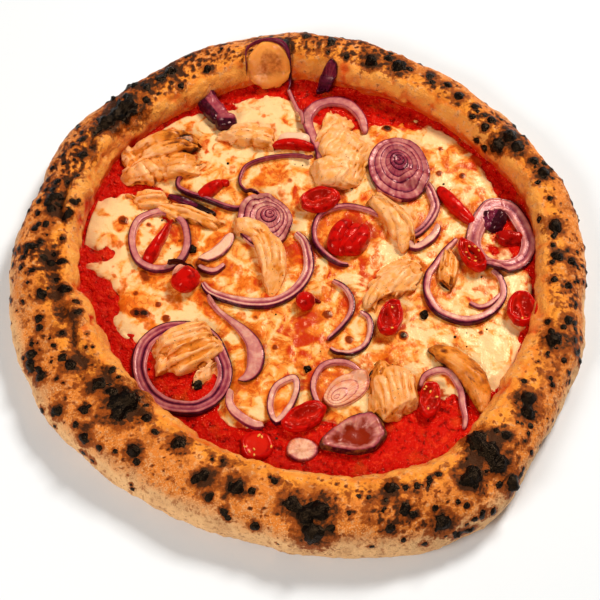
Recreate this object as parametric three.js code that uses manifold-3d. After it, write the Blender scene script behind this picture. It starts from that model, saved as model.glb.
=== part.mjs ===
// A whole wood-fired chicken pizza, uncut: a puffed dough rim round a thin base, tomato sauce, melted cheese, torn
// chicken, red onion rings and slices, and small red peppers and tomatoes. In millimetres, +Z up. The underside
// rests on Z = 0 and -Y is the side nearest to the viewer. Places are measured from a point near the middle of the
// sauce, and the finished group is then moved so that the Z axis runs through the middle of the outline.
import * as THREE from "three";
import { mergeVertices } from "three/addons/utils/BufferGeometryUtils.js";
import Module from "manifold-3d";

const wasm = await Module();
wasm.setup();

const TURN = 2 * Math.PI;
const DEG = Math.PI / 180;

// Driving dimensions of the dough
const RIM_RADIUS = 164.5; // mean reach of the rim's outer side
const RIM_WIDTH = 34.5; // mean width of the rim, from its outer side to its inner foot
const RIM_HEIGHT = 30; // mean height of the rim's crest
const BELLY_HEIGHT = 12; // height at which the rim's outer side reaches furthest
const FOOT_WIDTH = 9; // how far the edge of the flat underside lies inside the outer side
const BASE_THICKNESS = 4; // dough under the sauce
const LUMP = 1.3; // how far the lumps of the risen dough stand out
const OUTLINE_MIDDLE = [-3, 2.1]; // middle of the outline, from the point that places are measured from

// Driving dimensions of the layers, and the gaps that keep the solids apart
const SAUCE_THICKNESS = 1.6;
const SAUCE_INSET = 1.2; // the sauce stops this far short of the rim's foot
const CHEESE_THICKNESS = 2.4;
const CHEESE_EDGE = 0.5; // thickness of the cheese where it ends
const GAP = 0.35;
const SEAT_GAP = 0.65; // under the toppings, whose bed is uneven
const SAUCE_LEVEL = BASE_THICKNESS + GAP + SAUCE_THICKNESS;

// How the hand-stretched dough departs from a true circle: waves round the rim, their height, and where they crest
const OUTLINE_WAVES = [
  [1, 0.8, 137],
  [2, 4.3, -63],
  [3, 2.5, -56],
  [4, 2.7, 23],
  [5, 1.4, 10],
  [7, 0.6, -14],
  [9, 0.9, -19],
];
const WIDTH_WAVES = [
  [1, 10, 239],
  [2, 1.3, 71],
  [3, 2.7, 84],
  [4, 1.3, 31],
  [5, 1, 68],
];
const HEIGHT_WAVES = [
  [1, 2.5, 228],
  [2, 1.2, 115],
  [3, 1.3, 50],
  [5, 1, 20],
];
// The share of the rim's width that lies outside its crest: high where the inner wall is steep
const CREST_SHARE = 0.6;
const CREST_WAVES = [
  [1, 0.12, 200],
  [3, 0.03, 30],
];
// How square the rim's section is, inside its crest and outside it: 1 is an ellipse, and less is squarer
const [INNER_ACROSS, INNER_UP] = [0.8, 0.9];
const [OUTER_ACROSS, OUTER_UP] = [0.9, 0.85];

// Where the pieces of cheese melted: [x, y, reach]
const CHEESE_POOLS = [
  [-70, 92, 25],
  [-22, 108, 22],
  [-30, 62, 42],
  [40, 62, 44],
  [72, 76, 26],
  [88, 50, 26],
  [-112, 40, 19],
  [-100, 12, 25],
  [-84, -10, 24],
  [-48, -16, 36],
  [0, 0, 50],
  [-4, -40, 34],
  [-32, -78, 13],
  [16, -64, 20],
  [46, -34, 34],
  [84, -30, 32],
  [98, -48, 17],
  [110, -6, 20],
];
const CHEESE_BRIM = 0.42; // the pools' summed strength where the cheese ends
const CHEESE_FULL = 0.9; // and where it has its full thickness

// The surface that the toppings lie on

const wave = (waves, turn) =>
  waves.reduce((sum, [count, height, crest]) => sum + height * Math.cos(count * (turn - crest * DEG)), 0);

const smooth = (low, high, value) => THREE.MathUtils.smoothstep(value, low, high);

// The rim's section at one way round it: how far out its parts reach, and how high its crest is
function rimAt(turn) {
  const outer = RIM_RADIUS + wave(OUTLINE_WAVES, turn);
  const width = RIM_WIDTH + wave(WIDTH_WAVES, turn);
  const crest = outer - width * (CREST_SHARE + wave(CREST_WAVES, turn));
  return { outer, foot: outer - width, crest, height: RIM_HEIGHT + wave(HEIGHT_WAVES, turn) };
}

// Height of the dough's top, without its lumps
function doughHeight(x, y) {
  const { outer, foot, crest, height } = rimAt(Math.atan2(y, x));
  const reach = Math.hypot(x, y);
  if (reach <= foot) return BASE_THICKNESS;
  const inside = reach <= crest;
  const [across, up, low] = inside
    ? [(crest - reach) / (crest - foot), INNER_UP, BASE_THICKNESS]
    : [Math.min(1, (reach - crest) / (outer - crest)), OUTER_UP, BELLY_HEIGHT];
  const level = across ** (1 / (inside ? INNER_ACROSS : OUTER_ACROSS));
  return low + (height - low) * Math.sqrt(1 - level ** 2) ** up;
}

const cheeseStrength = (x, y) =>
  CHEESE_POOLS.reduce((sum, [px, py, reach]) => sum + Math.exp(-((x - px) ** 2 + (y - py) ** 2) / reach ** 2), 0);

const cheeseHills = (x, y) => 0.35 * Math.sin(x / 14 + 0.6) * Math.cos(y / 12 - 0.4);

const sauceLumps = (x, y) => 0.2 + 0.2 * Math.sin(x / 9) * Math.sin(y / 8 + 1);

// Height of the cheese over the sauce, none where the sauce shows
function cheeseRise(x, y) {
  const strength = cheeseStrength(x, y);
  if (strength < CHEESE_BRIM) return 0;
  const full = CHEESE_THICKNESS - CHEESE_EDGE + cheeseHills(x, y);
  return GAP + CHEESE_EDGE + smooth(CHEESE_BRIM, CHEESE_FULL, strength) * full;
}

// Height at which a topping lies when no other is under it
const bed = (x, y) =>
  Math.max(SAUCE_LEVEL + Math.max(cheeseRise(x, y), sauceLumps(x, y)), doughHeight(x, y)) + SEAT_GAP;

const CLIMB = 4; // a stiff piece beside the rim rises no more than this, and is cut to fit
const stiffBed = (x, y, seat) => Math.min(bed(x, y), seat + CLIMB);

// A point at a height off the bed, square to the bed's slope
function offBed(x, y, height) {
  const slopeX = bed(x + 0.5, y) - bed(x - 0.5, y);
  const slopeY = bed(x, y + 0.5) - bed(x, y - 0.5);
  const out = new THREE.Vector3(-slopeX, -slopeY, 1).setLength(height);
  return [x + out.x, y + out.y, bed(x, y) + out.z];
}

// Closed meshes from three.js's own, with their vertices moved

const WELD = 1e-3; // vertices closer than this are one

function mould(geometry, place) {
  const position = geometry.getAttribute("position");
  const vertex = new THREE.Vector3();
  for (let i = 0; i < position.count; i++) {
    vertex.fromBufferAttribute(position, i);
    position.setXYZ(i, ...place(vertex));
  }
  geometry.deleteAttribute("normal");
  geometry.deleteAttribute("uv");
  return mergeVertices(geometry, WELD);
}

// The step, out of a full count, at which an angle lies, so that both sides of a seam give the same one
const stepOf = (angle, count) => ((Math.round((angle * count) / TURN) % count) + count) % count;

// A ball whose vertices go to place(turn, row): turn runs once round the axis, and row down from the top pole, 0
function ball(columns, rows, place) {
  return mould(new THREE.SphereGeometry(1, columns, rows).rotateX(Math.PI / 2), ({ x, y, z }) => {
    const row = Math.round((Math.acos(THREE.MathUtils.clamp(z, -1, 1)) * rows) / Math.PI);
    const step = row % rows === 0 ? 0 : stepOf(Math.atan2(y, x), columns);
    return place((step * TURN) / columns, row);
  });
}

// A hoop whose vertices go to place(share, corner): share runs once round the hoop, and corner round its section
function hoop(columns, corners, place) {
  return mould(new THREE.TorusGeometry(1, 0.5, corners, columns), ({ x, y, z }) => {
    const corner = stepOf(Math.atan2(z, Math.hypot(x, y) - 1), corners);
    return place(stepOf(Math.atan2(y, x), columns) / columns, corner);
  });
}

// A bar whose vertices go to place(share, corner): share runs from end to end, and corner is -1 in the middle of an
// end's face
function bar(steps, corners, place) {
  const rod = new THREE.CylinderGeometry(1, 1, 1, corners, steps).rotateX(Math.PI / 2).rotateZ(Math.PI / 2);
  return mould(rod, ({ x, y, z }) => {
    const share = Math.round((z + 0.5) * steps) / steps;
    return place(share, Math.hypot(x, y) < 0.5 ? -1 : stepOf(Math.atan2(y, x), corners));
  });
}

// Solids and the room between them

function solidOf(geometry) {
  const welded = mergeVertices(geometry, WELD);
  return new wasm.Manifold(
    new wasm.Mesh({
      numProp: 3,
      vertProperties: welded.getAttribute("position").array,
      triVerts: new Uint32Array(welded.index.array),
    }),
  );
}

function geometryOf(solid) {
  const { vertProperties, triVerts } = solid.getMesh();
  return new THREE.BufferGeometry()
    .setAttribute("position", new THREE.BufferAttribute(vertProperties, 3))
    .setIndex(new THREE.BufferAttribute(triVerts, 1));
}

// Several overlapping pieces in one
function fused(...geometries) {
  const geometry = geometryOf(geometries.map(solidOf).reduce((sum, solid) => sum.add(solid)));
  geometry.userData.mounds = geometries.flatMap((part) => part.userData.mounds ?? []);
  return geometry;
}

// The same mesh with its surface pushed out
function grown(geometry, by) {
  const copy = geometry.clone();
  copy.computeVertexNormals();
  const position = copy.getAttribute("position");
  const normal = copy.getAttribute("normal");
  const vertex = new THREE.Vector3();
  const out = new THREE.Vector3();
  for (let i = 0; i < position.count; i++) {
    vertex.fromBufferAttribute(position, i).addScaledVector(out.fromBufferAttribute(normal, i), by);
    position.setXYZ(i, vertex.x, vertex.y, vertex.z);
  }
  copy.deleteAttribute("normal");
  return copy;
}

const pizza = new THREE.Group();
const rooms = []; // what each piece that is already there takes up, with the gap round it
const mounds = []; // onions already laid down, as round mounds that a later one is carried over
const TOUCH = 1e-4; // cubic millimetres of overlap that still count as clear
const MOST_TRIMS = 4;

const materials = Object.fromEntries(
  Object.entries({
    crust: [0xd09050, 0.85],
    sauce: [0xb3200c, 0.35],
    cheese: [0xf3d9a0, 0.4],
    chicken: [0xd9a873, 0.6],
    onion: [0x9c5479, 0.4],
    pepper: [0xc4160c, 0.3],
  }).map(([name, [color, roughness]]) => [name, new THREE.MeshStandardMaterial({ color, roughness, metalness: 0 })]),
);

// Adds a piece to the pizza, cut clear of every piece that is already there, and keeps its largest part
function add(name, kind, geometry) {
  let solid = solidOf(geometry);
  let cut = false;
  for (const room of rooms) {
    if (solid.intersect(room).volume() < TOUCH) continue;
    solid = solid.subtract(room);
    cut = true;
  }
  for (let trim = 0; cut && trim < MOST_TRIMS; trim++) {
    const bodies = solid.decompose().sort((a, b) => b.volume() - a.volume());
    solid = solidOf(geometryOf(bodies[0]));
    cut = bodies.length > 1 || solid.decompose().length > 1;
  }
  const mesh = new THREE.Mesh(geometryOf(solid), materials[kind]);
  mesh.name = name;
  pizza.add(mesh);
  rooms.push(solid.add(solidOf(grown(mesh.geometry, GAP - 0.05))));
  mounds.push(...(geometry.userData.mounds ?? []));
}

// The dough: one closed skin, from the middle of the base's top out to the rim, over it and back underneath

const RIM_COLUMNS = 72;
const INNER_STEPS = 5; // up the rim's inner wall
const OUTER_STEPS = 5; // down from its crest to its belly
const UNDER_STEPS = 2; // from its belly to its underside
const CREST_ROW = 1 + INNER_STEPS;
const BELLY_ROW = CREST_ROW + OUTER_STEPS;
const UNDER_ROW = BELLY_ROW + UNDER_STEPS;
const QUARTER = Math.PI / 2;

// Lumps of risen dough, in waves round the rim and over it
const lump = (turn, over) =>
  LUMP *
  (Math.sin(11 * turn + 1.7 * over + 0.4) * 0.5 +
    Math.sin(19 * turn - 2.3 * over + 1.1) * 0.35 +
    Math.sin(7 * turn + 4.1 * over + 2.6) * 0.45);

// How far out and how high the dough's skin is at a row
function doughSkin(turn, row) {
  const { outer, foot, crest, height } = rimAt(turn);
  if (row === 0) return [0, BASE_THICKNESS];
  if (row <= CREST_ROW) {
    const climb = ((row - 1) / INNER_STEPS) * QUARTER;
    const swell = Math.sin(climb) * lump(turn, climb);
    return [
      crest - (crest - foot) * Math.cos(climb) ** INNER_ACROSS - swell * Math.cos(climb),
      BASE_THICKNESS + (height - BASE_THICKNESS) * Math.sin(climb) ** INNER_UP + swell * Math.sin(climb),
    ];
  }
  if (row <= BELLY_ROW) {
    const fall = ((row - CREST_ROW) / OUTER_STEPS) * QUARTER;
    const swell = lump(turn, QUARTER + fall);
    return [
      crest + (outer - crest) * Math.sin(fall) ** OUTER_ACROSS + swell * Math.sin(fall),
      BELLY_HEIGHT + (height - BELLY_HEIGHT) * Math.cos(fall) ** OUTER_UP + swell * Math.cos(fall),
    ];
  }
  if (row > UNDER_ROW) return [0, 0];
  const tuck = ((row - BELLY_ROW) / UNDER_STEPS) * QUARTER;
  const swell = lump(turn, Math.PI) * Math.cos(tuck);
  return [outer - FOOT_WIDTH * (1 - Math.cos(tuck)) + swell, BELLY_HEIGHT * (1 - Math.sin(tuck))];
}

const dough = ball(RIM_COLUMNS, UNDER_ROW + 1, (turn, row) => {
  const [reach, height] = doughSkin(turn, row);
  return [reach * Math.cos(turn), reach * Math.sin(turn), height];
});
add("dough", "crust", dough);

// Layers: a sheet out to edge(turn), with its top at top(x, y) and its underside at one height

const CROWDING = 1.6; // above 1, a sheet's rows lie closer together towards its edge

function layer(columns, topRows, edge, top, underside) {
  return ball(columns, topRows + 1, (turn, row) => {
    const share = row <= topRows ? 1 - (1 - row / topRows) ** CROWDING : 0;
    const [x, y] = [share * edge(turn) * Math.cos(turn), share * edge(turn) * Math.sin(turn)];
    return [x, y, row <= topRows ? top(x, y) : underside];
  });
}

const sauceTop = (x, y) => {
  const bare = 1 - smooth(CHEESE_BRIM - 0.15, CHEESE_BRIM, cheeseStrength(x, y));
  return SAUCE_LEVEL + bare * sauceLumps(x, y);
};
const sauceEdge = (turn) => rimAt(turn).foot - SAUCE_INSET;
add("tomato_sauce", "sauce", layer(48, 6, sauceEdge, sauceTop, BASE_THICKNESS + GAP));

// The cheese ends where its pools' strength falls to the brim, found by walking in from the rim
const EDGE_STEP = 0.5;
const CHEESE_INSET = 4; // the cheese stops at least this far short of the rim's foot
function cheeseEdge(turn) {
  let reach = rimAt(turn).foot - CHEESE_INSET;
  while (cheeseStrength(reach * Math.cos(turn), reach * Math.sin(turn)) < CHEESE_BRIM) reach -= EDGE_STEP;
  return reach;
}
const cheeseTop = (x, y) => SAUCE_LEVEL + Math.max(cheeseRise(x, y), GAP + CHEESE_EDGE);
add("melted_cheese", "cheese", layer(60, 8, cheeseEdge, cheeseTop, SAUCE_LEVEL + GAP));

// How an onion, or any other topping, is made

const MOUND_SLOPE = 5; // how far out from a mound the onion over it starts to rise

// How much higher the onions already laid down carry a later one
const carried = (x, y) =>
  mounds.reduce((most, mound) => {
    const out = Math.hypot(x - mound.x, y - mound.y);
    return Math.max(most, mound.height * (1 - smooth(mound.reach, mound.reach + MOUND_SLOPE, out)));
  }, 0);

const BAND_STEP = 6.4; // length along a band from one section to the next
// A band's section: [share of half its width, share of its height]
const BAND_SECTION = [
  [1, 0.3],
  [0.6, 1],
  [-0.6, 1],
  [-1, 0.3],
  [-0.8, 0],
  [0.8, 0],
];

// A band along a path through points: closed on itself, or with ends narrowed to a share of its width
function band(points, width, height, { closed = false, ends = 0.5 } = {}) {
  const path = new THREE.CatmullRomCurve3(
    points.map(([x, y]) => new THREE.Vector3(x, y, 0)),
    closed,
    "catmullrom",
  );
  const steps = Math.max(6, Math.round(path.getLength() / BAND_STEP));
  const place = (share, corner) => {
    const middle = path.getPointAt(share);
    const along = path.getTangentAt(share);
    const full = closed ? 1 : ends + (1 - ends) * Math.sqrt(Math.sin(Math.PI * share));
    const [across, up] = corner < 0 ? [0, 0.5] : BAND_SECTION[corner];
    const side = ((closed ? 1 : -1) * across * full * width) / 2;
    const [x, y] = [middle.x + side * along.y, middle.y - side * along.x];
    return [x, y, bed(x, y) + carried(x, y) + up * height * (0.6 + 0.4 * full)];
  };
  const geometry = (closed ? hoop : bar)(steps, BAND_SECTION.length, place);
  geometry.userData.mounds = path
    .getSpacedPoints(2 * steps)
    .map((point) => ({ x: point.x, y: point.y, reach: width / 2, height: height + GAP }));
  return geometry;
}

// Profiles of round pieces, from the middle out over the top and round the side: [share of reach, of height]
const ONION_SLICE = [
  [0, 0.9],
  [0.25, 1],
  [0.4, 0.75],
  [0.62, 1],
  [0.78, 0.8],
  [0.97, 0.9],
  [1, 0.35],
  [0.93, 0],
];
const ONION_BASIN = [
  [0, 0.35],
  [0.4, 0.4],
  [0.66, 0.85],
  [0.88, 1],
  [1, 0.6],
  [0.92, 0],
];
const THIN_SLICE = [
  [0, 0.7],
  [0.6, 0.75],
  [0.85, 1],
  [1, 0.6],
  [0.94, 0],
];
const HOLLOW_HALF = [
  [0, 0.45],
  [0.38, 0.4],
  [0.68, 0.8],
  [0.86, 1],
  [1, 0.55],
  [0.7, 0],
];
const WHOLE_BALL = [
  [0, 1],
  [0.45, 0.93],
  [0.85, 0.72],
  [1, 0.45],
  [0.8, 0.14],
  [0.3, 0],
];

// A round piece, turned from its own X by degrees: an oval that narrows towards its own +X end by a share, with its
// heart off its middle. One that drapes lies over the onions before it, and one that hugs lies against the rim.
function round(profile, x, y, long, wide, height, turned, options = {}) {
  const { narrowed = 0, heart = [0, 0], columns = 14, drapes = false, hugs = false } = options;
  const [cos, sin] = [Math.cos(turned * DEG), Math.sin(turned * DEG)];
  const seat = bed(x, y);
  const geometry = ball(columns, profile.length, (turn, row) => {
    const [share, up] = profile[row] ?? [0, 0];
    const u = (share * long * Math.cos(turn)) / 2;
    const v = ((share * wide * Math.sin(turn)) / 2) * (1 - narrowed * (0.5 + 0.5 * Math.cos(turn)));
    const [px, py] = [
      x + (1 - share) * heart[0] + u * cos - v * sin,
      y + (1 - share) * heart[1] + u * sin + v * cos,
    ];
    if (hugs) return offBed(px, py, up * height);
    if (drapes) return [px, py, bed(px, py) + carried(px, py) + up * height];
    const low = stiffBed(px, py, seat);
    return [px, py, low + Math.max(0, seat - low) * up + up * height];
  });
  if (drapes) geometry.userData.mounds = [{ x, y, reach: Math.min(long, wide) / 2, height: height + GAP }];
  return geometry;
}

// Fills out an oval towards a rectangle
const blunt = (share) => Math.sign(share) * Math.abs(share) ** 0.8;

const WAIST = 0.16; // share of its height at which a chunk is widest

// A torn chunk with a flat underside: long along its own X, bowed to one side, narrower at its own +X end
function chunk(x, y, long, wide, height, turned, { bow = 0, narrowed = 0.2, ridges = 2, hugs = false } = {}) {
  const [cos, sin] = [Math.cos(turned * DEG), Math.sin(turned * DEG)];
  const seat = bed(x, y);
  const [columns, rows] = long * wide > 400 ? [12, 6] : [10, 5];
  return ball(columns, rows, (turn, row) => {
    const fall = (row / rows) * Math.PI;
    const [a, b, c] = [Math.sin(fall) * Math.cos(turn), Math.sin(fall) * Math.sin(turn), Math.cos(fall)];
    const u = (long / 2) * blunt(a);
    const v = (wide / 2) * blunt(b) * (1 - narrowed * (0.5 + 0.5 * a)) + bow * (0.5 - a * a);
    const ridged = 1 + 0.1 * Math.sin(3 * ridges * b + long);
    const up = c > 0 ? WAIST + (1 - WAIST) * blunt(c) * ridged : WAIST * (1 + c);
    const [px, py] = [x + u * cos - v * sin, y + u * sin + v * cos];
    if (hugs) return offBed(px, py, up * height);
    const low = stiffBed(px, py, seat);
    return [px, py, low + Math.max(0, seat - low) * Math.max(0, c) + up * height];
  });
}

const stem = (points) => band(points, 1.6, 1.8, { ends: 0.8 });

// Red onion: each piece lies over the ones before it. Bands are a path of [x, y], a width and a height.

const onionBands = {
  onion_ring_back: [
    [[37, 101], [35, 113], [28, 123], [19, 126], [9, 123], [3, 115], [3, 107], [6, 97], [9, 88], [9, 81]],
    4.4,
    4,
  ],
  onion_curl_right: [[[62, 67], [71, 64], [75, 55], [76, 47], [72, 38], [66, 31], [60, 28]], 3.4, 4],
  onion_curl_right_low: [[[78, 36], [75, 29], [70, 24], [64, 21], [59, 23]], 3, 3.6],
  onion_hoop_left: [
    [[-66, 73], [-72, 69], [-73, 63], [-66, 58], [-53, 52], [-40, 47], [-32, 50], [-29, 56]],
    2.4,
    4,
  ],
  onion_strip_charred: [[[-79, 58], [-69, 53], [-60, 48], [-50, 43]], 2.6, 3.6, { ends: 0.3 }],
  onion_hoop_middle: [
    [[6, 81], [-2, 84], [-14, 84], [-26, 81], [-34, 76], [-37, 68], [-36, 62], [-30, 57], [-21, 54]],
    2,
    4,
  ],
  onion_ring_centre: [
    [[44, 42], [37, 46], [26, 49], [16, 47], [9, 42], [6, 33], [7, 24], [12, 16], [20, 10], [26, 9]],
    2.6,
    4,
  ],
  onion_ring_left: [
    [[-66, 26], [-70, 40], [-82, 46], [-94, 40], [-98, 26], [-93, 11], [-80, 6], [-69, 13]],
    3.4,
    4,
    { closed: true },
  ],
  onion_ring_large: [
    [[-57, -2], [-53, -8], [-43, -13], [-29, -16], [-16, -15], [-5, -8], [2, 3], [3, 14], [0, 25], [-5, 31]],
    4.4,
    4,
  ],
  onion_curl_pale: [[[-60, 9], [-56, 6], [-50, 5], [-44, 10]], 3, 3.4],
  onion_ring_thick_left: [
    [
      [-44, -52], [-43, -62], [-47, -72], [-58, -80], [-73, -78], [-85, -69], [-90, -56], [-88, -42], [-78, -33],
      [-62, -32], [-50, -39],
    ],
    5.6,
    4,
    { closed: true },
  ],
  onion_hook: [
    [[-54, -12], [-48, -20], [-40, -27], [-33, -34], [-28, -41], [-26, -49], [-27, -57], [-31, -62], [-36, -63]],
    5,
    4,
    { ends: 0.3 },
  ],
  onion_ring_under_hook: [[[-39, -70], [-40, -77], [-37, -83], [-31, -88], [-26, -90], [-21, -90]], 3.4, 4],
  onion_ring_pointed: [
    [[-5, -63], [-4, -72], [-9, -82], [-15, -88], [-18, -81], [-17, -72], [-13, -66]],
    2.6,
    4,
    { closed: true },
  ],
  onion_ring_front: [
    [[32, -60], [25, -54], [17, -53], [10, -56], [6, -63], [5, -70], [7, -77], [11, -83]],
    2.6,
    4,
  ],
  onion_arch_front_right: [
    [[63, -68], [66, -61], [74, -58], [80, -60], [85, -69], [86, -78], [87, -86], [86, -92]],
    2.8,
    4,
  ],
  onion_curl_centre: [[[16, -1], [23, -6], [27, -14], [26, -23], [20, -32], [13, -39]], 2.6, 4],
  onion_curl_centre_low: [[[14, -44], [19, -47], [27, -47], [34, -42], [37, -33], [36, -25], [31, -21]], 2.8, 4],
};
for (const [name, [points, width, height, options]] of Object.entries(onionBands))
  add(name, "onion", band(points, width, height, options));

const ringLowerRight = fused(
  band(
    [
      [88, 27], [80, 18], [74, 9], [70, 2], [69, -9], [73, -19], [79, -24], [88, -27], [97, -26], [105, -21],
      [111, -13], [112, -5], [110, 2], [106, 6],
    ],
    3.4,
    4,
  ),
  band([[92, -15], [98, -18], [104, -16], [111, -9]], 2.2, 3),
);
add("onion_ring_lower_right", "onion", ringLowerRight);

const ringThickRight = fused(
  band(
    [[128, 28], [126, 41], [117, 48], [106, 45], [99, 34], [98, 22], [104, 12], [114, 9], [124, 15]],
    7.5,
    4,
    { closed: true },
  ),
  chunk(110, 40, 15, 12, 5, 60, { narrowed: 0 }),
);
add("onion_ring_thick_right", "onion", ringThickRight);

const sliceOnCrust = fused(
  round(ONION_SLICE, -21, 143, 28, 19, 2.6, 8, { columns: 16, hugs: true }),
  band([[-10, 138], [-7, 130], [-4, 120], [-1, 112], [0, 105]], 3, 3.6, { ends: 0.8 }),
);
add("onion_slice_on_crust", "onion", sliceOnCrust);

const petalDark = fused(
  chunk(-54, 119, 30, 14, 8, -58, { narrowed: 0.1, ridges: 1 }),
  chunk(-46, 108, 13, 12, 8.5, 0, { narrowed: 0 }),
);
add("onion_petal_dark", "onion", petalDark);
add("onion_petal_back", "onion", chunk(13, 141, 18, 8, 4, 42, { ridges: 1, hugs: true }));
add("onion_petal_pink", "onion", chunk(-50, 22, 26, 10, 5, 44, { narrowed: 0.4, ridges: 1 }));

const onionRounds = {
  onion_slice_right: [ONION_SLICE, 56, 74, 44, 36, 4.5, 105, { heart: [0, 7], columns: 18 }],
  onion_slice_spiral: [ONION_SLICE, -22, 37, 34, 33, 4.5, 90, { heart: [3, 6], columns: 18 }],
  onion_slice_pink: [THIN_SLICE, 23, -70, 28, 17, 3.4, 36, { heart: [-5, -4] }],
  onion_slice_browned: [ONION_BASIN, 26, -97, 37, 31, 6, 196, { narrowed: 0.5, columns: 18 }],
  onion_slice_pale: [THIN_SLICE, -1, -104, 17, 13, 2.6, 172],
};
for (const [name, [profile, x, y, long, wide, height, turned, options]] of Object.entries(onionRounds))
  add(name, "onion", round(profile, x, y, long, wide, height, turned, { drapes: true, ...options }));

// Torn chicken: each piece is one or more chunks, [x, y, long, wide, height, turned, options]

const chickens = {
  chicken_left_back: [
    [-83, 88, 46, 20, 12, 12, { narrowed: 0.1 }],
    [-90, 73, 38, 20, 9, 8],
    [-101, 84, 16, 13, 8, 120],
  ],
  chicken_back: [
    [-35, 99, 26, 15, 9, 8],
    [-24, 97, 16, 13, 8, 0],
  ],
  chicken_large: [
    [21, 110, 22, 15, 9, 10],
    [18, 98, 24, 22, 9, 60],
    [26, 87, 34, 24, 11, -35, { narrowed: 0 }],
    [20, 71, 38, 20, 11, 12, { narrowed: -0.2 }],
  ],
  chicken_slice_right: [[49, 40, 50, 19, 9, -59, { bow: 9, narrowed: 0.15 }]],
  chicken_slice_middle: [[-24, 9, 58, 20, 10, -73, { bow: 9, narrowed: 0.1 }]],
  chicken_centre_right: [
    [53, 1, 34, 22, 10, 46, { narrowed: 0.1 }],
    [42, -8, 32, 11, 7, 54],
  ],
  chicken_in_ring: [[82, 7, 34, 13, 8, 79]],
  chicken_over_ring: [
    [-64, -40, 44, 17, 12, 20],
    [-59, -49, 42, 15, 10, 22],
    [-50, -60, 22, 10, 8, 30],
    [-79, -54, 14, 10, 7, 20],
  ],
  chicken_front: [
    [48, -71, 34, 28, 12, 100, { narrowed: 0 }],
    [38, -60, 15, 14, 10, 30],
    [36, -79, 14, 11, 8, 0],
  ],
  chicken_strip_right: [[86, -61, 48, 15, 9, -53, { bow: 7, narrowed: 0.1, ridges: 1 }]],
  chicken_flat_left: [[-88, 55, 25, 13, 6, 0]],
  chicken_shreds: [[-62, 42, 36, 9, 5, -28]],
};
for (const [name, chunks] of Object.entries(chickens)) {
  const pieces = chunks.map((sizes) => chunk(...sizes));
  add(name, "chicken", fused(...pieces));
}

// Small red peppers and tomatoes

const redPieces = {
  pepper_with_nub: [chunk(-54, 60, 18, 9, 7, 40, { ridges: 0 }), chunk(-46, 65, 6, 5, 4, 0)],
  pepper_spike: [chunk(-82, 25, 31, 9, 7, 64, { narrowed: 0.9, ridges: 0 })],
  pepper_with_stem: [
    round(WHOLE_BALL, -66, -3, 17, 16, 12, 60),
    stem([[-77, 8], [-71, 8], [-66, 5], [-65, 0]]),
  ],
  pepper_half_moon: [chunk(-6, 94, 24, 12, 6, 176, { bow: 1, ridges: 0 })],
  pepper_strip_long: [chunk(88, 49, 33, 9, 6, -52, { bow: -1, ridges: 0 })],
  pepper_small_ball: [
    round(WHOLE_BALL, 1, -16, 11, 11, 9, 0, { columns: 12 }),
    stem([[2, -16], [5, -13], [10, -15]]),
  ],
  tomato_half_middle: [round(HOLLOW_HALF, 10, 51, 25, 16, 8, 18)],
  tomato_half_in_ring: [round(HOLLOW_HALF, 26, 26, 25, 21, 9, 60)],
  tomato_half_seeded: [round(HOLLOW_HALF, 95, 14, 25, 14, 8, 119, { narrowed: 0.3 })],
  tomato_half_right: [round(HOLLOW_HALF, 121, -21, 22, 17, 8, 84)],
  tomato_half_pointed: [round(HOLLOW_HALF, 48, -27, 23, 15, 8, 74, { narrowed: 0.2 })],
  tomato_wedge: [round(HOLLOW_HALF, 0, -86, 25, 15, 6, 23)],
  tomato_slice_front: [round(THIN_SLICE, -25, -102, 18, 17, 3.5, 0)],
  tomato_half_front: [round(HOLLOW_HALF, 68, -76, 22, 12, 7, 84)],
  tomato_burnt: [chunk(118, 29, 14, 10, 6, 0, { ridges: 1 })],
};
for (const [name, pieces] of Object.entries(redPieces)) add(name, "pepper", fused(...pieces));

pizza.position.set(-OUTLINE_MIDDLE[0], -OUTLINE_MIDDLE[1], 0);

export default pizza;
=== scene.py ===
"""A whole wood-fired chicken pizza, uncut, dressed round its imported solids.

Shapes are numpy surfaces in millimetres, measured from the point near the sauce's middle that the solids are
measured from. They go into the row frame, in metres, as they become meshes. -Y is nearest to the viewer.
"""

import sys
import itertools
import logging
from collections.abc import Callable, Sequence
from dataclasses import dataclass, field, replace
from enum import Enum

import bpy
import numpy as np
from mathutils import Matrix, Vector


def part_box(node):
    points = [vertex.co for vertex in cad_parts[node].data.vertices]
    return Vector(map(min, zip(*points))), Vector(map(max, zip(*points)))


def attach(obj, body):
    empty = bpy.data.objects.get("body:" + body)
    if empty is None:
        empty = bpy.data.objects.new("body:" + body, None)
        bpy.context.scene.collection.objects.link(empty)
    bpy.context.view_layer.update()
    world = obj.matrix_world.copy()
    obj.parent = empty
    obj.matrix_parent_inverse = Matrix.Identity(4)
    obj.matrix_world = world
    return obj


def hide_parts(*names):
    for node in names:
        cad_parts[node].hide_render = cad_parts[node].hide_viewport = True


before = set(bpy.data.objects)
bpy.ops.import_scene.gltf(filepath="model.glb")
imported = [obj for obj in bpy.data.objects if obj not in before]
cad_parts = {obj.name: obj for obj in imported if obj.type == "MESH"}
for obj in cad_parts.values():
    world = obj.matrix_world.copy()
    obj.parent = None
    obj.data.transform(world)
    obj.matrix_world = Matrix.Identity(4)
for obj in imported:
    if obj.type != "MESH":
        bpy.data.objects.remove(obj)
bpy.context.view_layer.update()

log = logging.getLogger("pizza")

Array = np.ndarray
Point = tuple[float, float]
Marks = dict[str, Array]
Waves = tuple[tuple[float, float, float], ...]

MM = 0.001
PIXEL = 0.56  # millimetres across a pixel of the photograph, at the pizza
ROW_SHIFT = np.array([3.0, -2.1, 0.0])  # from the sauce's middle to the middle of the outline
FULL_TURN, QUARTER = 2 * np.pi, np.pi / 2
AXIS_PRIMES = np.array([374761393, 668265263, 2246822519], np.uint32)
SEED_PRIME = 3266489917
MIXING = ((15, 2654435761), (13, 2246822519))  # bits that the lattice's numbers are shifted by, and factors


# Numbers


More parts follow.
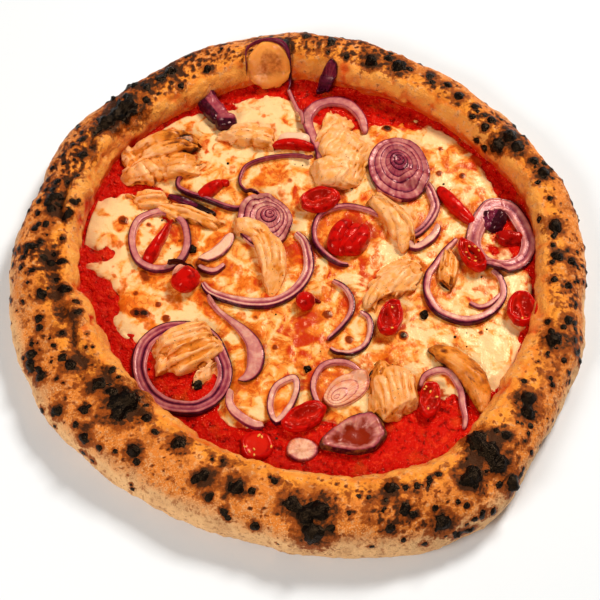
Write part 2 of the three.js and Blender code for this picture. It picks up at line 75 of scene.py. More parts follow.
def wave(waves: Waves, turn: Array) -> Array:
    """The sum over waves of height x cos(count x (turn - crest))."""
    return sum(height * np.cos(count * (turn - np.radians(crest))) for count, height, crest in waves)


def eased(share: Array) -> Array:
    """3t^2 - 2t^3, which rises from 0 to 1 and is level at both ends."""
    return share * share * (3 - 2 * share)


def smooth(low: float, high: float, value: Array) -> Array:
    """0 below low, 1 above high and eased between them, falling where low is above high."""
    return eased(np.clip((value - low) / (high - low), 0, 1))


def blunt(share: Array, power: float) -> Array:
    """The share raised to a power with its sign kept, which fills an oval out towards a rectangle."""
    return np.sign(share) * np.abs(share) ** power


def lattice(cells: Array, seed: int) -> Array:
    """One even random number from -1 to 1 a cell: its whole numbers multiplied, shifted and mixed."""
    mixed = (cells.astype(np.uint32) * AXIS_PRIMES).sum(-1, dtype=np.uint32)
    mixed = mixed + np.uint32(seed * SEED_PRIME % 2**32)
    for shift, prime in MIXING:
        mixed = (mixed ^ (mixed >> np.uint32(shift))) * np.uint32(prime)
    return (mixed ^ (mixed >> np.uint32(16))).astype(float) / 2**31 - 1


def noise(points: Array, size: float | Sequence[float], seed: int = 0, octaves: int = 1) -> Array:
    """Smooth random numbers over space.

    The lattice's numbers at the eight corners round a point are blended by their eased nearness. Each further
    octave is half as large and weighs half as much.

    Args:
        points: places, n x 3, in millimetres.
        size: width of the first octave's cells, one number or one for each axis.
        seed: which of the many patterns.
        octaves: how many sizes are added up.

    Returns:
        One number a point, about -0.7 to 0.7.
    """
    total = np.zeros(points.shape[:-1])
    for octave in range(octaves):
        place = points / (np.asarray(size, float) / 2**octave)
        cell = np.floor(place).astype(np.int64)
        share = eased(place - cell)
        for corner in itertools.product((0, 1), repeat=3):
            near = np.prod(np.where(corner, share, 1 - share), axis=-1)
            total += near * lattice(cell + corner, seed + 31 * octave) / 2**octave
    return total / (2 - 2 ** (1 - octaves))


def bubbles(points: Array, size: float, seed: int) -> Array:
    """Crowded bumps: 1 - (d / size)^2, where d is the way to the nearest of one point a cell."""
    place = points / size
    cell = np.floor(place).astype(np.int64)
    nearest = np.full(points.shape[:-1], 9.0)
    for corner in itertools.product((-1, 0, 1), repeat=3):
        there = cell + corner
        middle = there + 0.5 + 0.35 * np.stack([lattice(there, seed + axis) for axis in range(3)], -1)
        nearest = np.minimum(nearest, ((place - middle) ** 2).sum(-1))
    return np.clip(1 - nearest, 0, 1)


def spun(u: Array, v: Array, degrees: float, x: float = 0.0, y: float = 0.0) -> tuple[Array, Array]:
    """Places turned anticlockwise about the origin, and then moved by x and y."""
    cos, sin = np.cos(np.radians(degrees)), np.sin(np.radians(degrees))
    return x + u * cos - v * sin, y + u * sin + v * cos


def unit(vectors: Array) -> Array:
    """Vectors made 1 long."""
    return vectors / np.maximum(np.linalg.norm(vectors, axis=-1, keepdims=True), 1e-9)


def points_at(x: Array, y: Array, z: Array | float = 0.0) -> Array:
    """Points from their coordinates, with the last axis for x, y and z."""
    return np.stack([x, y, np.broadcast_to(z, x.shape)], -1)


def round_grid(columns: int, down: Array) -> tuple[Array, Array]:
    """The way round, and the place down the columns, at each point of a grid whose rows go once round."""
    return np.meshgrid(np.linspace(0, FULL_TURN, columns, endpoint=False), down)


def ball(columns: int, rows: int) -> Array:
    """The places of a unit ball, rows x columns x 3, from its top pole to its bottom one."""
    turn, fall = round_grid(columns, np.linspace(0, np.pi, rows))
    return points_at(np.sin(fall) * np.cos(turn), np.sin(fall) * np.sin(turn), np.cos(fall))


# Surfaces


@dataclass
class Shell:
    """A closed surface: points in millimetres, faces of four and of three corners, and marks at points."""

    points: Array
    quads: Array
    tris: Array
    marks: Marks = field(default_factory=dict)

    def facing_out(self) -> "Shell":
        """The surface, turned over if its volume, the sum of a . (b x c) / 6 over triangles, is negative."""
        corners = np.concatenate([self.quads[:, [0, 1, 2]], self.quads[:, [0, 2, 3]], self.tris])
        a, b, c = (self.points[corners[:, i]] for i in range(3))
        if (a * np.cross(b, c)).sum() < 0:
            self.quads, self.tris = self.quads[:, ::-1], self.tris[:, ::-1]
        return self


def together(shells: Sequence[Shell]) -> Shell:
    """Several surfaces as one, with each mark that some of them lack taken as 0 there."""
    starts = np.cumsum([0] + [len(shell.points) for shell in shells])
    names = sorted({name for shell in shells for name in shell.marks})
    marks = {}
    for name in names:
        kind = next(shell.marks[name] for shell in shells if name in shell.marks)
        blank = [np.zeros((len(shell.points), *kind.shape[1:])) for shell in shells]
        marks[name] = np.concatenate([shell.marks.get(name, gap) for shell, gap in zip(shells, blank)])
    return Shell(
        np.concatenate([shell.points for shell in shells]),
        np.concatenate([shell.quads + start for shell, start in zip(shells, starts)]),
        np.concatenate([shell.tris + start for shell, start in zip(shells, starts)]),
        marks,
    )


def woven(grid: Array, marks: Marks | None = None, loop: bool = False) -> Shell:
    """A closed surface over a grid of points.

    Args:
        grid: places, rows x columns x 3. Each row closes on itself.
        marks: numbers at each point of the grid, rows x columns.
        loop: the last row meets the first. Otherwise each of those two rows is drawn into one point, a pole.

    Returns:
        The surface, facing out.
    """
    rows, columns = grid.shape[:2]
    marks = marks or {}
    if loop:
        here = np.arange(rows * columns).reshape(rows, columns)
        right, below = np.roll(here, -1, 1), np.roll(here, -1, 0)
        quads = np.stack([here, right, np.roll(right, -1, 0), below], -1).reshape(-1, 4)
        flat = {name: mark.reshape(rows * columns, *mark.shape[2:]) for name, mark in marks.items()}
        return Shell(grid.reshape(-1, 3), quads, np.zeros((0, 3), int), flat).facing_out()

    def drawn(values: Array) -> Array:
        ends = values[[0, -1]].mean(1)
        inner = values[1:-1].reshape(-1, *values.shape[2:])
        return np.concatenate([ends[:1], inner, ends[1:]])

    here = 1 + np.arange((rows - 2) * columns).reshape(rows - 2, columns)
    right = np.roll(here, -1, 1)
    quads = np.stack([here[:-1], right[:-1], right[1:], here[1:]], -1).reshape(-1, 4)
    first, last = np.zeros(columns, int), np.full(columns, (rows - 2) * columns + 1)
    tris = [np.stack([first, right[0], here[0]], -1), np.stack([here[-1], right[-1], last], -1)]
    marks = {name: drawn(mark) for name, mark in marks.items()}
    return Shell(drawn(grid), quads, np.concatenate(tris), marks).facing_out()


def disc(x: Array, y: Array, top: Array, low: float, marks: Marks) -> Shell:
    """A sheet that spreads from the middle over its top, and is closed by an underside at one low level."""
    edge = points_at(x[-1:], y[-1:], low)
    grid = np.concatenate([points_at(x, y, top), edge, np.broadcast_to([0.0, 0.0, low], edge.shape)])
    return woven(grid, {name: np.concatenate([mark, mark[-1:], mark[-1:]]) for name, mark in marks.items()})


def grid_normals(grid: Array) -> Array:
    """Square to a grid at each point: the cross product of the steps along its rows and down its columns."""
    return unit(np.cross(np.roll(grid, -1, 1) - np.roll(grid, 1, 1), np.gradient(grid, axis=0)))


def object_of(name: str, data: bpy.types.ID) -> bpy.types.Object:
    """A new object, linked into the scene."""
    made = bpy.data.objects.new(name, data)
    bpy.context.scene.collection.objects.link(made)
    return made


def mesh_of(name: str, shell: Shell) -> bpy.types.Mesh:
    """A smooth mesh in the row frame, in metres, with the shell's marks as point attributes."""
    mesh = bpy.data.meshes.new(name)
    corners = np.concatenate([shell.quads.ravel(), shell.tris.ravel()])
    quads, tris = len(shell.quads), len(shell.tris)
    starts = np.concatenate([4 * np.arange(quads), 4 * quads + 3 * np.arange(tris)])
    mesh.vertices.add(len(shell.points))
    mesh.vertices.foreach_set("co", ((shell.points + ROW_SHIFT) * MM).astype(np.float32).ravel())
    mesh.loops.add(len(corners))
    mesh.loops.foreach_set("vertex_index", corners.astype(np.int32))
    mesh.polygons.add(len(starts))
    mesh.polygons.foreach_set("loop_start", starts.astype(np.int32))
    mesh.polygons.foreach_set("use_smooth", np.ones(len(starts), bool))
    for mark, values in shell.marks.items():
        kind, key = ("FLOAT_VECTOR", "vector") if values.ndim > 1 else ("FLOAT", "value")
        attribute = mesh.attributes.new(mark, kind, "POINT")
        attribute.data.foreach_set(key, values.astype(np.float32).ravel())
    mesh.update(calc_edges=True)
    mesh.validate()
    return mesh


def fused(shells: Sequence[Shell], cell: float) -> Shell:
    """Overlapping surfaces remade as one skin, by a voxel remesh with cells of that many millimetres."""
    whole = object_of("fusing", mesh_of("fusing", together(shells)))
    remesh = whole.modifiers.new("skin", "REMESH")
    remesh.mode, remesh.voxel_size = "VOXEL", cell * MM
    remesh.use_smooth_shade = True
    skin = whole.evaluated_get(bpy.context.evaluated_depsgraph_get()).to_mesh()
    points = np.empty(len(skin.vertices) * 3)
    skin.vertices.foreach_get("co", points)
    corners = np.empty(len(skin.loops), np.int32)
    skin.loops.foreach_get("vertex_index", corners)
    made = Shell(points.reshape(-1, 3) / MM - ROW_SHIFT, corners.reshape(-1, 4), np.zeros((0, 3), int))
    bpy.data.objects.remove(whole)
    return made.facing_out()


def gathered(shell: Shell, values: Array) -> Array:
    """The sum at each point of what the quads round it have, n x 3."""
    corners, count = shell.quads.ravel(), len(shell.points)
    return np.stack([np.bincount(corners, np.repeat(values[:, i], 4), count) for i in range(3)], -1)


def point_normals(shell: Shell) -> Array:
    """Square to a surface at each point: the sum of its quads' cross products of diagonals, 1 long."""
    a, b, c, d = (shell.points[shell.quads[:, i]] for i in range(4))
    return unit(gathered(shell, np.cross(c - a, d - b)))


def relaxed(shell: Shell, times: int) -> Shell:
    """The surface with each point moved to the mean of the quads' middles round it, a number of times."""
    count = np.maximum(np.bincount(shell.quads.ravel(), minlength=len(shell.points)), 1)
    for _ in range(times):
        shell.points = gathered(shell, shell.points[shell.quads].mean(1)) / count[:, None]
    return shell


def dress(name: str, shell: Shell, finish: bpy.types.Material, slot: str, *nodes: str) -> bpy.types.Object:
    """Makes a shell a piece of the pizza.

    Args:
        name: the piece's name.
        shell: its surface.
        finish: its material.
        slot: the record's material slot; not used.
        nodes: the CAD nodes that it stands for.

    Returns:
        The piece's object.
    """
    piece = object_of(name, mesh_of(name, shell))
    piece.data.materials.append(finish)
    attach(piece, "root")
    if nodes:
        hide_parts(*nodes)
    log.info("%s: %d triangles", name, 2 * len(shell.quads) + len(shell.tris))
    return piece


# The dough, and what lies flat on it


@dataclass(frozen=True)
class Rim:
    """The hand-stretched puffed rim: its mean sizes, and waves as (count, height, degrees of the crest)."""

    radius: float = 164.5
    width: float = 34.5
    height: float = 30.0
    belly: float = 12.0  # height at which the outer side reaches furthest
    foot_width: float = 9.0
    base: float = 4.0
    lump: float = 1.3
    crest_share: float = 0.6
    inner_power: Point = (0.8, 0.9)  # how square the section is inside its crest, across and up
    outer_power: Point = (0.9, 0.85)
    outline: Waves = (
        (1, 0.8, 137), (2, 4.3, -63), (3, 2.5, -56), (4, 2.7, 23), (5, 1.4, 10), (7, 0.6, -14), (9, 0.9, -19)
    )
    widths: Waves = ((1, 10, 239), (2, 1.3, 71), (3, 2.7, 84), (4, 1.3, 31), (5, 1, 68))
    heights: Waves = ((1, 2.5, 228), (2, 1.2, 115), (3, 1.3, 50), (5, 1, 20))
    crests: Waves = ((1, 0.12, 200), (3, 0.03, 30))
    swells: tuple[tuple[float, float, float, float], ...] = (  # count round, slant, start and share of each
        (11, 1.7, 0.4, 0.5), (19, -2.3, 1.1, 0.35), (7, 4.1, 2.6, 0.45),
    )  # fmt: skip

    def section(self, turn: Array) -> tuple[Array, Array, Array, Array]:
        """How far out the outer side, the inner foot and the crest are at each way round, and its height."""
        outer = self.radius + wave(self.outline, turn)
        width = self.width + wave(self.widths, turn)
        crest = outer - width * (self.crest_share + wave(self.crests, turn))
        return outer, outer - width, crest, self.height + wave(self.heights, turn)

    def top(self, x: Array, y: Array) -> Array:
        """The top's height: base inside the foot, then squared quarter-ovals up to the crest and down."""
        outer, foot, crest, height = self.section(np.arctan2(y, x))
        reach = np.hypot(x, y)
        inside = reach <= crest
        across = np.where(inside, (crest - reach) / (crest - foot), (reach - crest) / (outer - crest))
        across = np.clip(across, 0, 1) ** np.where(inside, 1 / self.inner_power[0], 1 / self.outer_power[0])
        low = np.where(inside, self.base, self.belly)
        up = np.sqrt(1 - across**2) ** np.where(inside, self.inner_power[1], self.outer_power[1])
        return np.where(reach <= foot, self.base, low + (height - low) * up)

    def lumps(self, turn: Array, over: Array) -> Array:
        """Lumps of risen dough: slanting sine waves round the rim and over it."""
        return self.lump * sum(
            np.sin(count * turn + slant * over + start) * share for count, slant, start, share in self.swells
        )

    def skin(self, turn: Array, over: Array) -> tuple[Array, Array]:
        """How far out and how high the skin is.

        Over the rim, out and up follow cos and sin of the angle, each to its own power, between the foot and
        the crest, the crest and the belly, and the belly and the underside.

        Args:
            turn: way round the pizza, in radians.
            over: way over the rim: 0 at the foot, a quarter turn at the crest, two at the belly, three below.

        Returns:
            Reach and height, in millimetres.
        """
        outer, foot, crest, height = self.section(turn)
        climb = np.clip(over, 0, QUARTER)
        fall = np.clip(over - QUARTER, 0, QUARTER)
        tuck = np.clip(over - 2 * QUARTER, 0, QUARTER)
        (in_across, in_up), (out_across, out_up) = self.inner_power, self.outer_power
        up_inside = np.sin(climb) ** in_up
        cos_fall = np.maximum(np.cos(fall), 0)
        inner = crest - (crest - foot) * np.maximum(np.cos(climb), 0) ** in_across
        rise = self.base + (height - self.base) * up_inside
        outside = crest + (outer - crest) * np.sin(fall) ** out_across
        drop = self.belly + (height - self.belly) * cos_fall**out_up
        under = outer - self.foot_width * (1 - np.cos(tuck))
        low = self.belly * (1 - np.sin(tuck))
        reach = np.where(over <= QUARTER, inner, np.where(over <= 2 * QUARTER, outside, under))
        return reach, np.where(over <= QUARTER, rise, np.where(over <= 2 * QUARTER, drop, low))


@dataclass(frozen=True)
class Cheese:
    """Torn mozzarella that melted into pools: [x, y, reach] of each, and the sheet's thicknesses."""

    pools: tuple[tuple[float, float, float], ...] = (
        (-70, 92, 25), (-22, 108, 22), (-30, 62, 42), (40, 62, 44), (72, 76, 26), (88, 50, 26),
        (-112, 40, 19), (-100, 12, 25), (-84, -10, 24), (-48, -16, 36), (0, 0, 50), (-4, -40, 34),
        (-32, -78, 13), (16, -64, 20), (46, -34, 34), (84, -30, 32), (98, -48, 17), (110, -6, 20),
    )
    brim: float = 0.42  # the pools' summed strength where the cheese ends
    full: float = 0.9
    thickness: float = 2.4
    edge: float = 0.5
    gap: float = 0.35

    def strength(self, x: Array, y: Array) -> Array:
        """The sum over pools of exp(-distance^2 / reach^2)."""
        return sum(np.exp(-((x - px) ** 2 + (y - py) ** 2) / reach**2) for px, py, reach in self.pools)

    def hills(self, x: Array, y: Array) -> Array:
        """Low hills: a sine times a cosine."""
        return 0.35 * np.sin(x / 14 + 0.6) * np.cos(y / 12 - 0.4)

    def rise(self, x: Array, y: Array) -> Array:
        """Height over the sauce, with the hills, and none where the sauce shows."""
        strength = self.strength(x, y)
        full = self.thickness - self.edge + self.hills(x, y)
        made = self.gap + self.edge + smooth(self.brim, self.full, strength) * full
        return np.where(strength < self.brim, 0, made)


@dataclass(frozen=True)
class Bed:
    """The surface that the toppings lie on."""

    rim: Rim = Rim()
    cheese: Cheese = Cheese()
    sauce_level: float = 5.95
    seat_gap: float = 0.65
    climb: float = 4.0  # a stiff piece beside the rim rises no more than this
    stiff: float = 3.5  # and how far it bridges the rim's foot

    def lumps(self, x: Array, y: Array) -> Array:
        """The sauce's low lumps over its level: the product of two sines."""
        return 0.2 + 0.2 * np.sin(x / 9) * np.sin(y / 8 + 1)

    def height(self, x: Array, y: Array) -> Array:
        """The highest of the dough, the sauce's lumps and the cheese, with the seat's gap on top."""
        top = self.sauce_level + np.maximum(self.cheese.rise(x, y), self.lumps(x, y))
        return np.maximum(top, self.rim.top(x, y)) + self.seat_gap

    def bridged(self, x: Array, y: Array) -> Array:
        """The bed as a stiff slice meets it: at least the mean of its heights a little further in and out."""
        share = self.stiff / np.maximum(np.hypot(x, y), self.stiff)
        ends = [self.height(x * (1 + side * share), y * (1 + side * share)) for side in (-1, 1)]
        return np.maximum(self.height(x, y), (ends[0] + ends[1]) / 2)

    def off(self, x: Array, y: Array, height: Array) -> Array:
        """Points at a height off the bridged bed, square to its slope."""
        slope_x = self.bridged(x + 0.5, y) - self.bridged(x - 0.5, y)
        slope_y = self.bridged(x, y + 0.5) - self.bridged(x, y - 0.5)
        out = np.stack([-slope_x, -slope_y, np.ones_like(slope_x)], -1)
        out *= (height / np.linalg.norm(out, axis=-1))[..., None]
        return out + points_at(x, y, self.bridged(x, y))


# What the camera sees


@dataclass(frozen=True)
class Camera:
    """The photograph's camera: where it looks, from how high and how far, and its square picture's side."""

    target: tuple[float, float, float] = (-2.0, -15.0, 12.0)
    elevation: float = 60.0
    distance: float = 900.0
    lens: float = 97.0
    sensor: float = 36.0
    picture: float = 600.0

    def ahead(self) -> Array:
        """Its direction of view."""
        rise = np.radians(self.elevation)
        return np.array([0, np.cos(rise), -np.sin(rise)])

    def place(self) -> Array:
        """Where it stands."""
        return np.array(self.target) - self.distance * self.ahead()

    def land(self, pixels: Array, height: Callable[[Array, Array], Array], highest: float = 38.0) -> Array:
        """Where the sight lines through pixels first meet a surface.

        Each line is followed down in quarter millimetres to its first point at or below the surface, or else
        to the point that comes nearest to it.

        Args:
            pixels: places in the photograph, n x 2.
            height: the surface, a function of x and y.
            highest: the level to start from.

        Returns:
            Points, n x 3.
        """
        start, ahead, middle = self.place(), self.ahead(), self.picture / 2
        upward = np.array([0, -ahead[2], ahead[1]])
        across, up = ((pixels - middle) / middle * self.sensor / 2 / self.lens).T
        lines = ahead + across[:, None] * np.array([1.0, 0, 0]) - up[:, None] * upward
        levels = np.arange(highest, 0, -0.25)[:, None]
        points = start + lines * ((levels - start[2]) / lines[:, 2])[..., None]
        over = points[..., 2] - height(points[..., 0], points[..., 1])
        met = over <= 0
        first = np.where(met.any(0), met.argmax(0), over.argmin(0))
        return points[first, np.arange(len(pixels))]

    def build(self) -> None:
        """Makes it the scene's camera."""
        data = bpy.data.cameras.new("camera")
        data.lens, data.sensor_width = self.lens, self.sensor
        camera = object_of("camera", data)
        camera.location = (self.place() + ROW_SHIFT) * MM
        camera.rotation_euler = Vector(self.ahead()).to_track_quat("-Z", "Y").to_euler()
        bpy.context.scene.camera = camera


# Materials


def linear(colour: str) -> tuple[float, float, float, float]:
    """An sRGB hex colour as linear red, green, blue and 1."""
    shares = [int(colour[i : i + 2], 16) / 255 for i in (1, 3, 5)]
    red, green, blue = (s / 12.92 if s <= 0.04045 else ((s + 0.055) / 1.055) ** 2.4 for s in shares)
    return red, green, blue, 1.0


Link, Node = bpy.types.NodeSocket, bpy.types.Node


@dataclass
class Recipe:
    """A material in the making, with its node tree and the one surface shader that all else leads to."""

    name: str

    def __post_init__(self) -> None:
        """Starts the material with a Principled shader on its output."""
        self.material = bpy.data.materials.new(self.name)
        self.material.use_nodes = True
        self.tree = self.material.node_tree
        self.shader = self.tree.nodes["Principled BSDF"]

    def put(self, socket: Link, value: object) -> None:
        """Links an output to a socket, or sets the socket to a number, a colour or a vector."""
        if isinstance(value, Link):
            self.tree.links.new(value, socket)
        else:
            socket.default_value = value

    def add(self, kind: str, inputs: dict | None = None, stops: Sequence = (), **settings: object) -> Node:
        """Adds a node.

        Args:
            kind: the node's type, without "ShaderNode".
            inputs: a value or an output to link, for each of its inputs by name or number.
            stops: (place, hex colour) of a colour ramp.
            settings: its other settings.

        Returns:
            The node.
        """
        node = self.tree.nodes.new("ShaderNode" + kind)
        for key, value in settings.items():
            setattr(node, key, value)
        for key, value in (inputs or {}).items():
            self.put(node.inputs[key], value)
        for i, (place, colour) in enumerate(stops):
            stop = node.color_ramp.elements[i] if i < 2 else node.color_ramp.elements.new(place)
            stop.position, stop.color = place, linear(colour)
        return node

    def mark(self, name: str) -> Link:
        """A point attribute of the piece."""
        return self.add("Attribute", attribute_name=name).outputs["Fac"]

    def grains(self, size: float, detail: float = 2, places: Link | None = None, twist: float = 0) -> Link:
        """Noise, 0 to 1, with grains of a size in millimetres, or in the units of the places given."""
        inputs = {"Scale": 1 / (size * MM) if places is None else 1 / size, "Detail": detail}
        inputs |= {"Distortion": twist, "Vector": places or self.add("TexCoord").outputs["Object"]}
        return self.add("TexNoise", inputs).outputs["Fac"]

    def between(self, value: Link, low: float, high: float, most: float = 1.0) -> Link:
        """0 where a value is at low, rising smoothly to the most where it is at high."""
        inputs = {"Value": value, "From Min": low, "From Max": high, "To Max": most}
        return self.add("MapRange", inputs, interpolation_type="SMOOTHSTEP").outputs["Result"]

    def sum(self, operation: str, first: Link | float, second: Link | float) -> Link:
        """Two numbers put together by an operation."""
        return self.add("Math", {0: first, 1: second}, operation=operation).outputs[0]

    def swung(self, value: Link, most: float) -> Link:
        """A noise value, measured from its middle and multiplied."""
        return self.sum("MULTIPLY", self.sum("SUBTRACT", value, 0.5), most)

    def blend(self, share: Link | float, under: Link | str, over: Link | str) -> Link:
        """A colour laid over another by a share."""
        colours = [linear(side) if isinstance(side, str) else side for side in (under, over)]
        node = self.add("Mix", data_type="RGBA")
        for key, value in zip(("Factor_Float", "A_Color", "B_Color"), (share, *colours)):
            self.put(next(s for s in node.inputs if s.identifier == key), value)
        return next(s for s in node.outputs if s.identifier == "Result_Color")

    def layered(self, colour: Link | str, *layers: tuple[Link, float, float, float, str]) -> Link:
        """Colours laid one over another, each by how a value rises from low to high, up to a most."""
        for value, low, high, most, over in layers:
            colour = self.blend(self.between(value, low, high, most), colour, over)
        return colour

    def surface(
        self, colour: Link, rough: Link | float, bumps: Sequence[tuple[Link, float, float]], **sockets: object
    ) -> bpy.types.Material:
        """Leads a colour, a roughness and bumps to the shader.

        Args:
            colour: the base colour.
            rough: the roughness.
            bumps: (height, millimetres, strength) of each, the coarsest first.
            sockets: the shader's other sockets by name, with _ for a space.

        Returns:
            The finished material.
        """
        values = {"Base Color": colour, "Roughness": rough}
        values |= {key.replace("_", " "): value for key, value in sockets.items()}
        for height, deep, strength in bumps:
            inputs = {"Height": height, "Distance": deep * MM, "Strength": strength}
            if "Normal" in values:
                inputs["Normal"] = values["Normal"]
            values["Normal"] = self.add("Bump", inputs).outputs["Normal"]
        for key, value in values.items():
            self.put(self.shader.inputs[key], value)
        return self.material


@dataclass(frozen=True)
class CrustFinish:
    """Wood-fired wheat dough: dry and floury outside, golden and spotted on top, wet with oil inside."""

    wet: str = "#f8a044"
    oily: str = "#e0560a"
    smear: str = "#c81e02"
    golden: str = "#fb942e"
    tan: str = "#e47e2c"
    flour: str = "#f4bc80"
    toasted: str = "#903c08"
    burnt: str = "#2c1006"
    char: str = "#050404"

    def material(self) -> bpy.types.Material:
        """Colour by the way over the rim, then patches, spots, flour and char laid over it."""
        r = Recipe("baked_wheat_dough")
        over, char, toast, smear = (r.mark(name) for name in ("over", "char", "toast", "smear"))
        patches, blots, mottle, fine = r.grains(15, 3), r.grains(6, 3), r.grains(3.2, 4), r.grains(0.8, 3)
        specks = r.grains(1.7, 2, twist=0.5)
        stops = [(0.0, self.wet), (0.3, self.wet), (0.38, self.golden), (0.48, self.golden), (0.56, self.tan)]
        stops += [(0.78, self.tan), (0.92, self.flour), (1.0, self.flour)]
        bent = r.sum("ADD", over, r.swung(patches, 0.3))
        colour = r.add("ValToRGB", {"Fac": bent}, stops).outputs["Color"]
        inside, outside = r.between(over, 0.42, 0.3), r.between(over, 0.32, 0.45)
        hollows = r.between(r.sum("ADD", r.mark("blister"), r.sum("MULTIPLY", blots, 0.9)), 1.35, 0.8, 0.9)
        colour = r.blend(r.sum("MULTIPLY", inside, hollows), colour, self.oily)
        scorched = r.sum("MULTIPLY", r.between(patches, 0.48, 0.66, 0.35), outside)
        colour = r.blend(scorched, colour, self.toasted)
        colour = r.layered(colour, (mottle, 0.52, 0.7, 0.5, self.flour))
        colour = r.blend(r.sum("MULTIPLY", r.between(mottle, 0.48, 0.3, 0.65), outside), colour, self.toasted)
        dusted = r.sum("MULTIPLY", r.between(over, 0.5, 0.8), r.between(fine, 0.5, 0.68, 0.6))
        colour = r.blend(dusted, colour, self.flour)
        colour = r.blend(smear, colour, self.smear)
        broken = r.sum("ADD", r.sum("MULTIPLY", mottle, 1.1), specks)
        # The toast mark also carries painted shade in the fold's crease.
        uneven = r.sum("SUBTRACT", r.sum("ADD", toast, broken), 1.05)
        toasts = (uneven, 0.1, 0.5, 0.95, self.toasted), (uneven, 0.5, 0.95, 0.95, self.burnt)
        colour = r.layered(colour, *toasts)
        black = r.between(r.sum("ADD", char, r.swung(mottle, 0.6)), 0.35, 0.55)
        colour = r.blend(black, colour, self.char)
        rough = r.sum("ADD", r.between(over, 0.3, 0.45, 0.3), 0.3)
        rough = r.sum("SUBTRACT", rough, r.sum("MULTIPLY", black, 0.36))
        bumps = [(mottle, 1.3, 0.6), (specks, 0.7, 0.55), (fine, 0.5, 0.75)]
        shine = r.sum("SUBTRACT", 0.35, r.sum("MULTIPLY", black, 0.15))
        return r.surface(colour, rough, bumps, Specular_IOR_Level=shine, Specular_Tint=linear("#ffc489"))


@dataclass(frozen=True)
class SauceFinish:
    """Crushed tomato, cooked down and wet: pulp in clear red juice."""

    deep: str = "#7c0302"
    red: str = "#cc0e05"
    pulp: str = "#e02c10"
    oil: str = "#dc5014"

    def material(self) -> bpy.types.Material:
        """Pulp lies pale in darker juice, with a little orange oil."""
        r = Recipe("crushed_tomato")
        pulp, fine, oil = r.grains(3.4, 4, twist=0.4), r.grains(1.1, 2), r.grains(9, 3)
        stops = [(0.32, self.deep), (0.45, self.red), (0.56, self.red), (0.66, self.pulp)]
        colour = r.add("ValToRGB", {"Fac": pulp}, stops).outputs["Color"]
        colour = r.layered(colour, (oil, 0.56, 0.74, 0.4, self.oil))
        colour = r.blend(r.mark("dark"), colour, self.deep)
        bumps = [(pulp, 2.2, 0.9), (fine, 1.2, 0.8)]
        return r.surface(colour, 0.09, bumps, Specular_IOR_Level=0.35, Specular_Tint=linear("#ff7a50"))


@dataclass(frozen=True)
class CheeseFinish:
    """Low-moisture mozzarella, melted: creamy, faintly see-through, its butterfat red from the sauce."""

    cream: str = "#f9c888"
    butter: str = "#f79c3c"
    oil: str = "#e66a10"
    stain: str = "#c62404"
    lace: str = "#c4480a"
    toasted: str = "#8a2c04"
    burnt: str = "#240a04"

    def material(self) -> bpy.types.Material:
        """Cream, then butter, oil, stains and toasted spots, each by its own mark broken up by grains."""
        r = Recipe("melted_mozzarella")
        oil, toast, stain = r.mark("oil"), r.mark("toast"), r.mark("stain")
        broad, spots, fine = r.grains(11, 5, twist=1.0), r.grains(2.6, 3), r.grains(1.0, 2)
        veins, freckles = r.grains(7, 5, twist=0.6), r.grains(1.5, 2)
        rough_spots = r.swung(spots, 0.8)
        uneven = r.sum("ADD", r.swung(broad, 3.6), rough_spots)
        oily = r.sum("ADD", r.sum("MULTIPLY", oil, 0.9), uneven)
        colour = r.layered(
            self.cream, (oily, 0.0, 0.6, 0.95, self.butter), (oily, 0.42, 1.0, 0.9, self.oil),
            (oily, 0.8, 1.5, 0.8, self.lace),
        )  # fmt: skip
        vein = r.between(r.sum("ABSOLUTE", r.sum("SUBTRACT", veins, 0.5), 0.0), 0.05, 0.0)
        colour = r.blend(r.sum("MULTIPLY", vein, r.between(oily, 0.1, 0.8, 0.75)), colour, self.lace)
        brown = r.sum("ADD", toast, r.sum("MULTIPLY", rough_spots, 0.9))
        colour = r.layered(
            colour, (r.sum("ADD", stain, uneven), 0.45, 1.15, 0.85, self.stain),
            (brown, 0.12, 0.45, 0.9, self.oil), (brown, 0.36, 0.7, 1.0, self.toasted),
            (brown, 0.9, 1.2, 1.0, self.burnt),
            (freckles, 0.71, 0.8, 0.5, self.lace),
        )  # fmt: skip
        bumps = [(broad, 1.2, 0.4), (spots, 0.6, 0.4), (fine, 0.4, 0.35)]
        return r.surface(
            colour, 0.25, bumps, Subsurface_Weight=0.15, Subsurface_Scale=0.002, Specular_IOR_Level=0.35,
            Specular_Tint=linear("#ffd9a8"),
        )  # fmt: skip


@dataclass(frozen=True)
class ChickenFinish:
    """Roast chicken breast, torn by hand: pale moist fibres, browned where the fire reached them."""

    pale: str = "#fab87c"
    beige: str = "#f29e4c"
    roast: str = "#e27e22"
    brown: str = "#8c3a0a"
    burnt: str = "#260d05"

    def material(self) -> bpy.types.Material:
        """Fibres run along the piece's own grain, and the roast mark darkens them, with painted shade in
        creases and on steep sides.
        """
        r = Recipe("roast_chicken")
        roast = r.mark("roast")
        grain = r.add("Attribute", attribute_name="grain").outputs["Vector"]
        fibres, mottle = r.grains(1.0, 3, grain), r.grains(4, 3)
        fine, specks = r.grains(0.9, 2), r.grains(1.0, 1)
        colour = r.layered(
            self.beige, (mottle, 0.35, 0.65, 1.0, self.pale), (fibres, 0.5, 0.3, 0.35, self.beige)
        )
        # The roast mark brings in painted shade from the creases and steep sides.
        tone = r.sum("ADD", r.sum("ADD", roast, r.swung(mottle, 0.9)), r.swung(fibres, -0.3))
        colour = r.layered(
            colour, (tone, 0.1, 0.6, 1.0, self.roast), (tone, 0.55, 0.95, 0.9, self.brown),
            (tone, 0.95, 1.25, 1.0, self.burnt), (specks, 0.68, 0.74, 0.75, self.burnt),
        )  # fmt: skip
        bumps = [(fibres, 0.4, 0.3), (fine, 0.25, 0.3)]
        return r.surface(
            colour, 0.34, bumps, Subsurface_Weight=0.1, Subsurface_Scale=0.002, Specular_IOR_Level=0.35,
            Specular_Tint=linear("#ffd8ac"),
        )  # fmt: skip


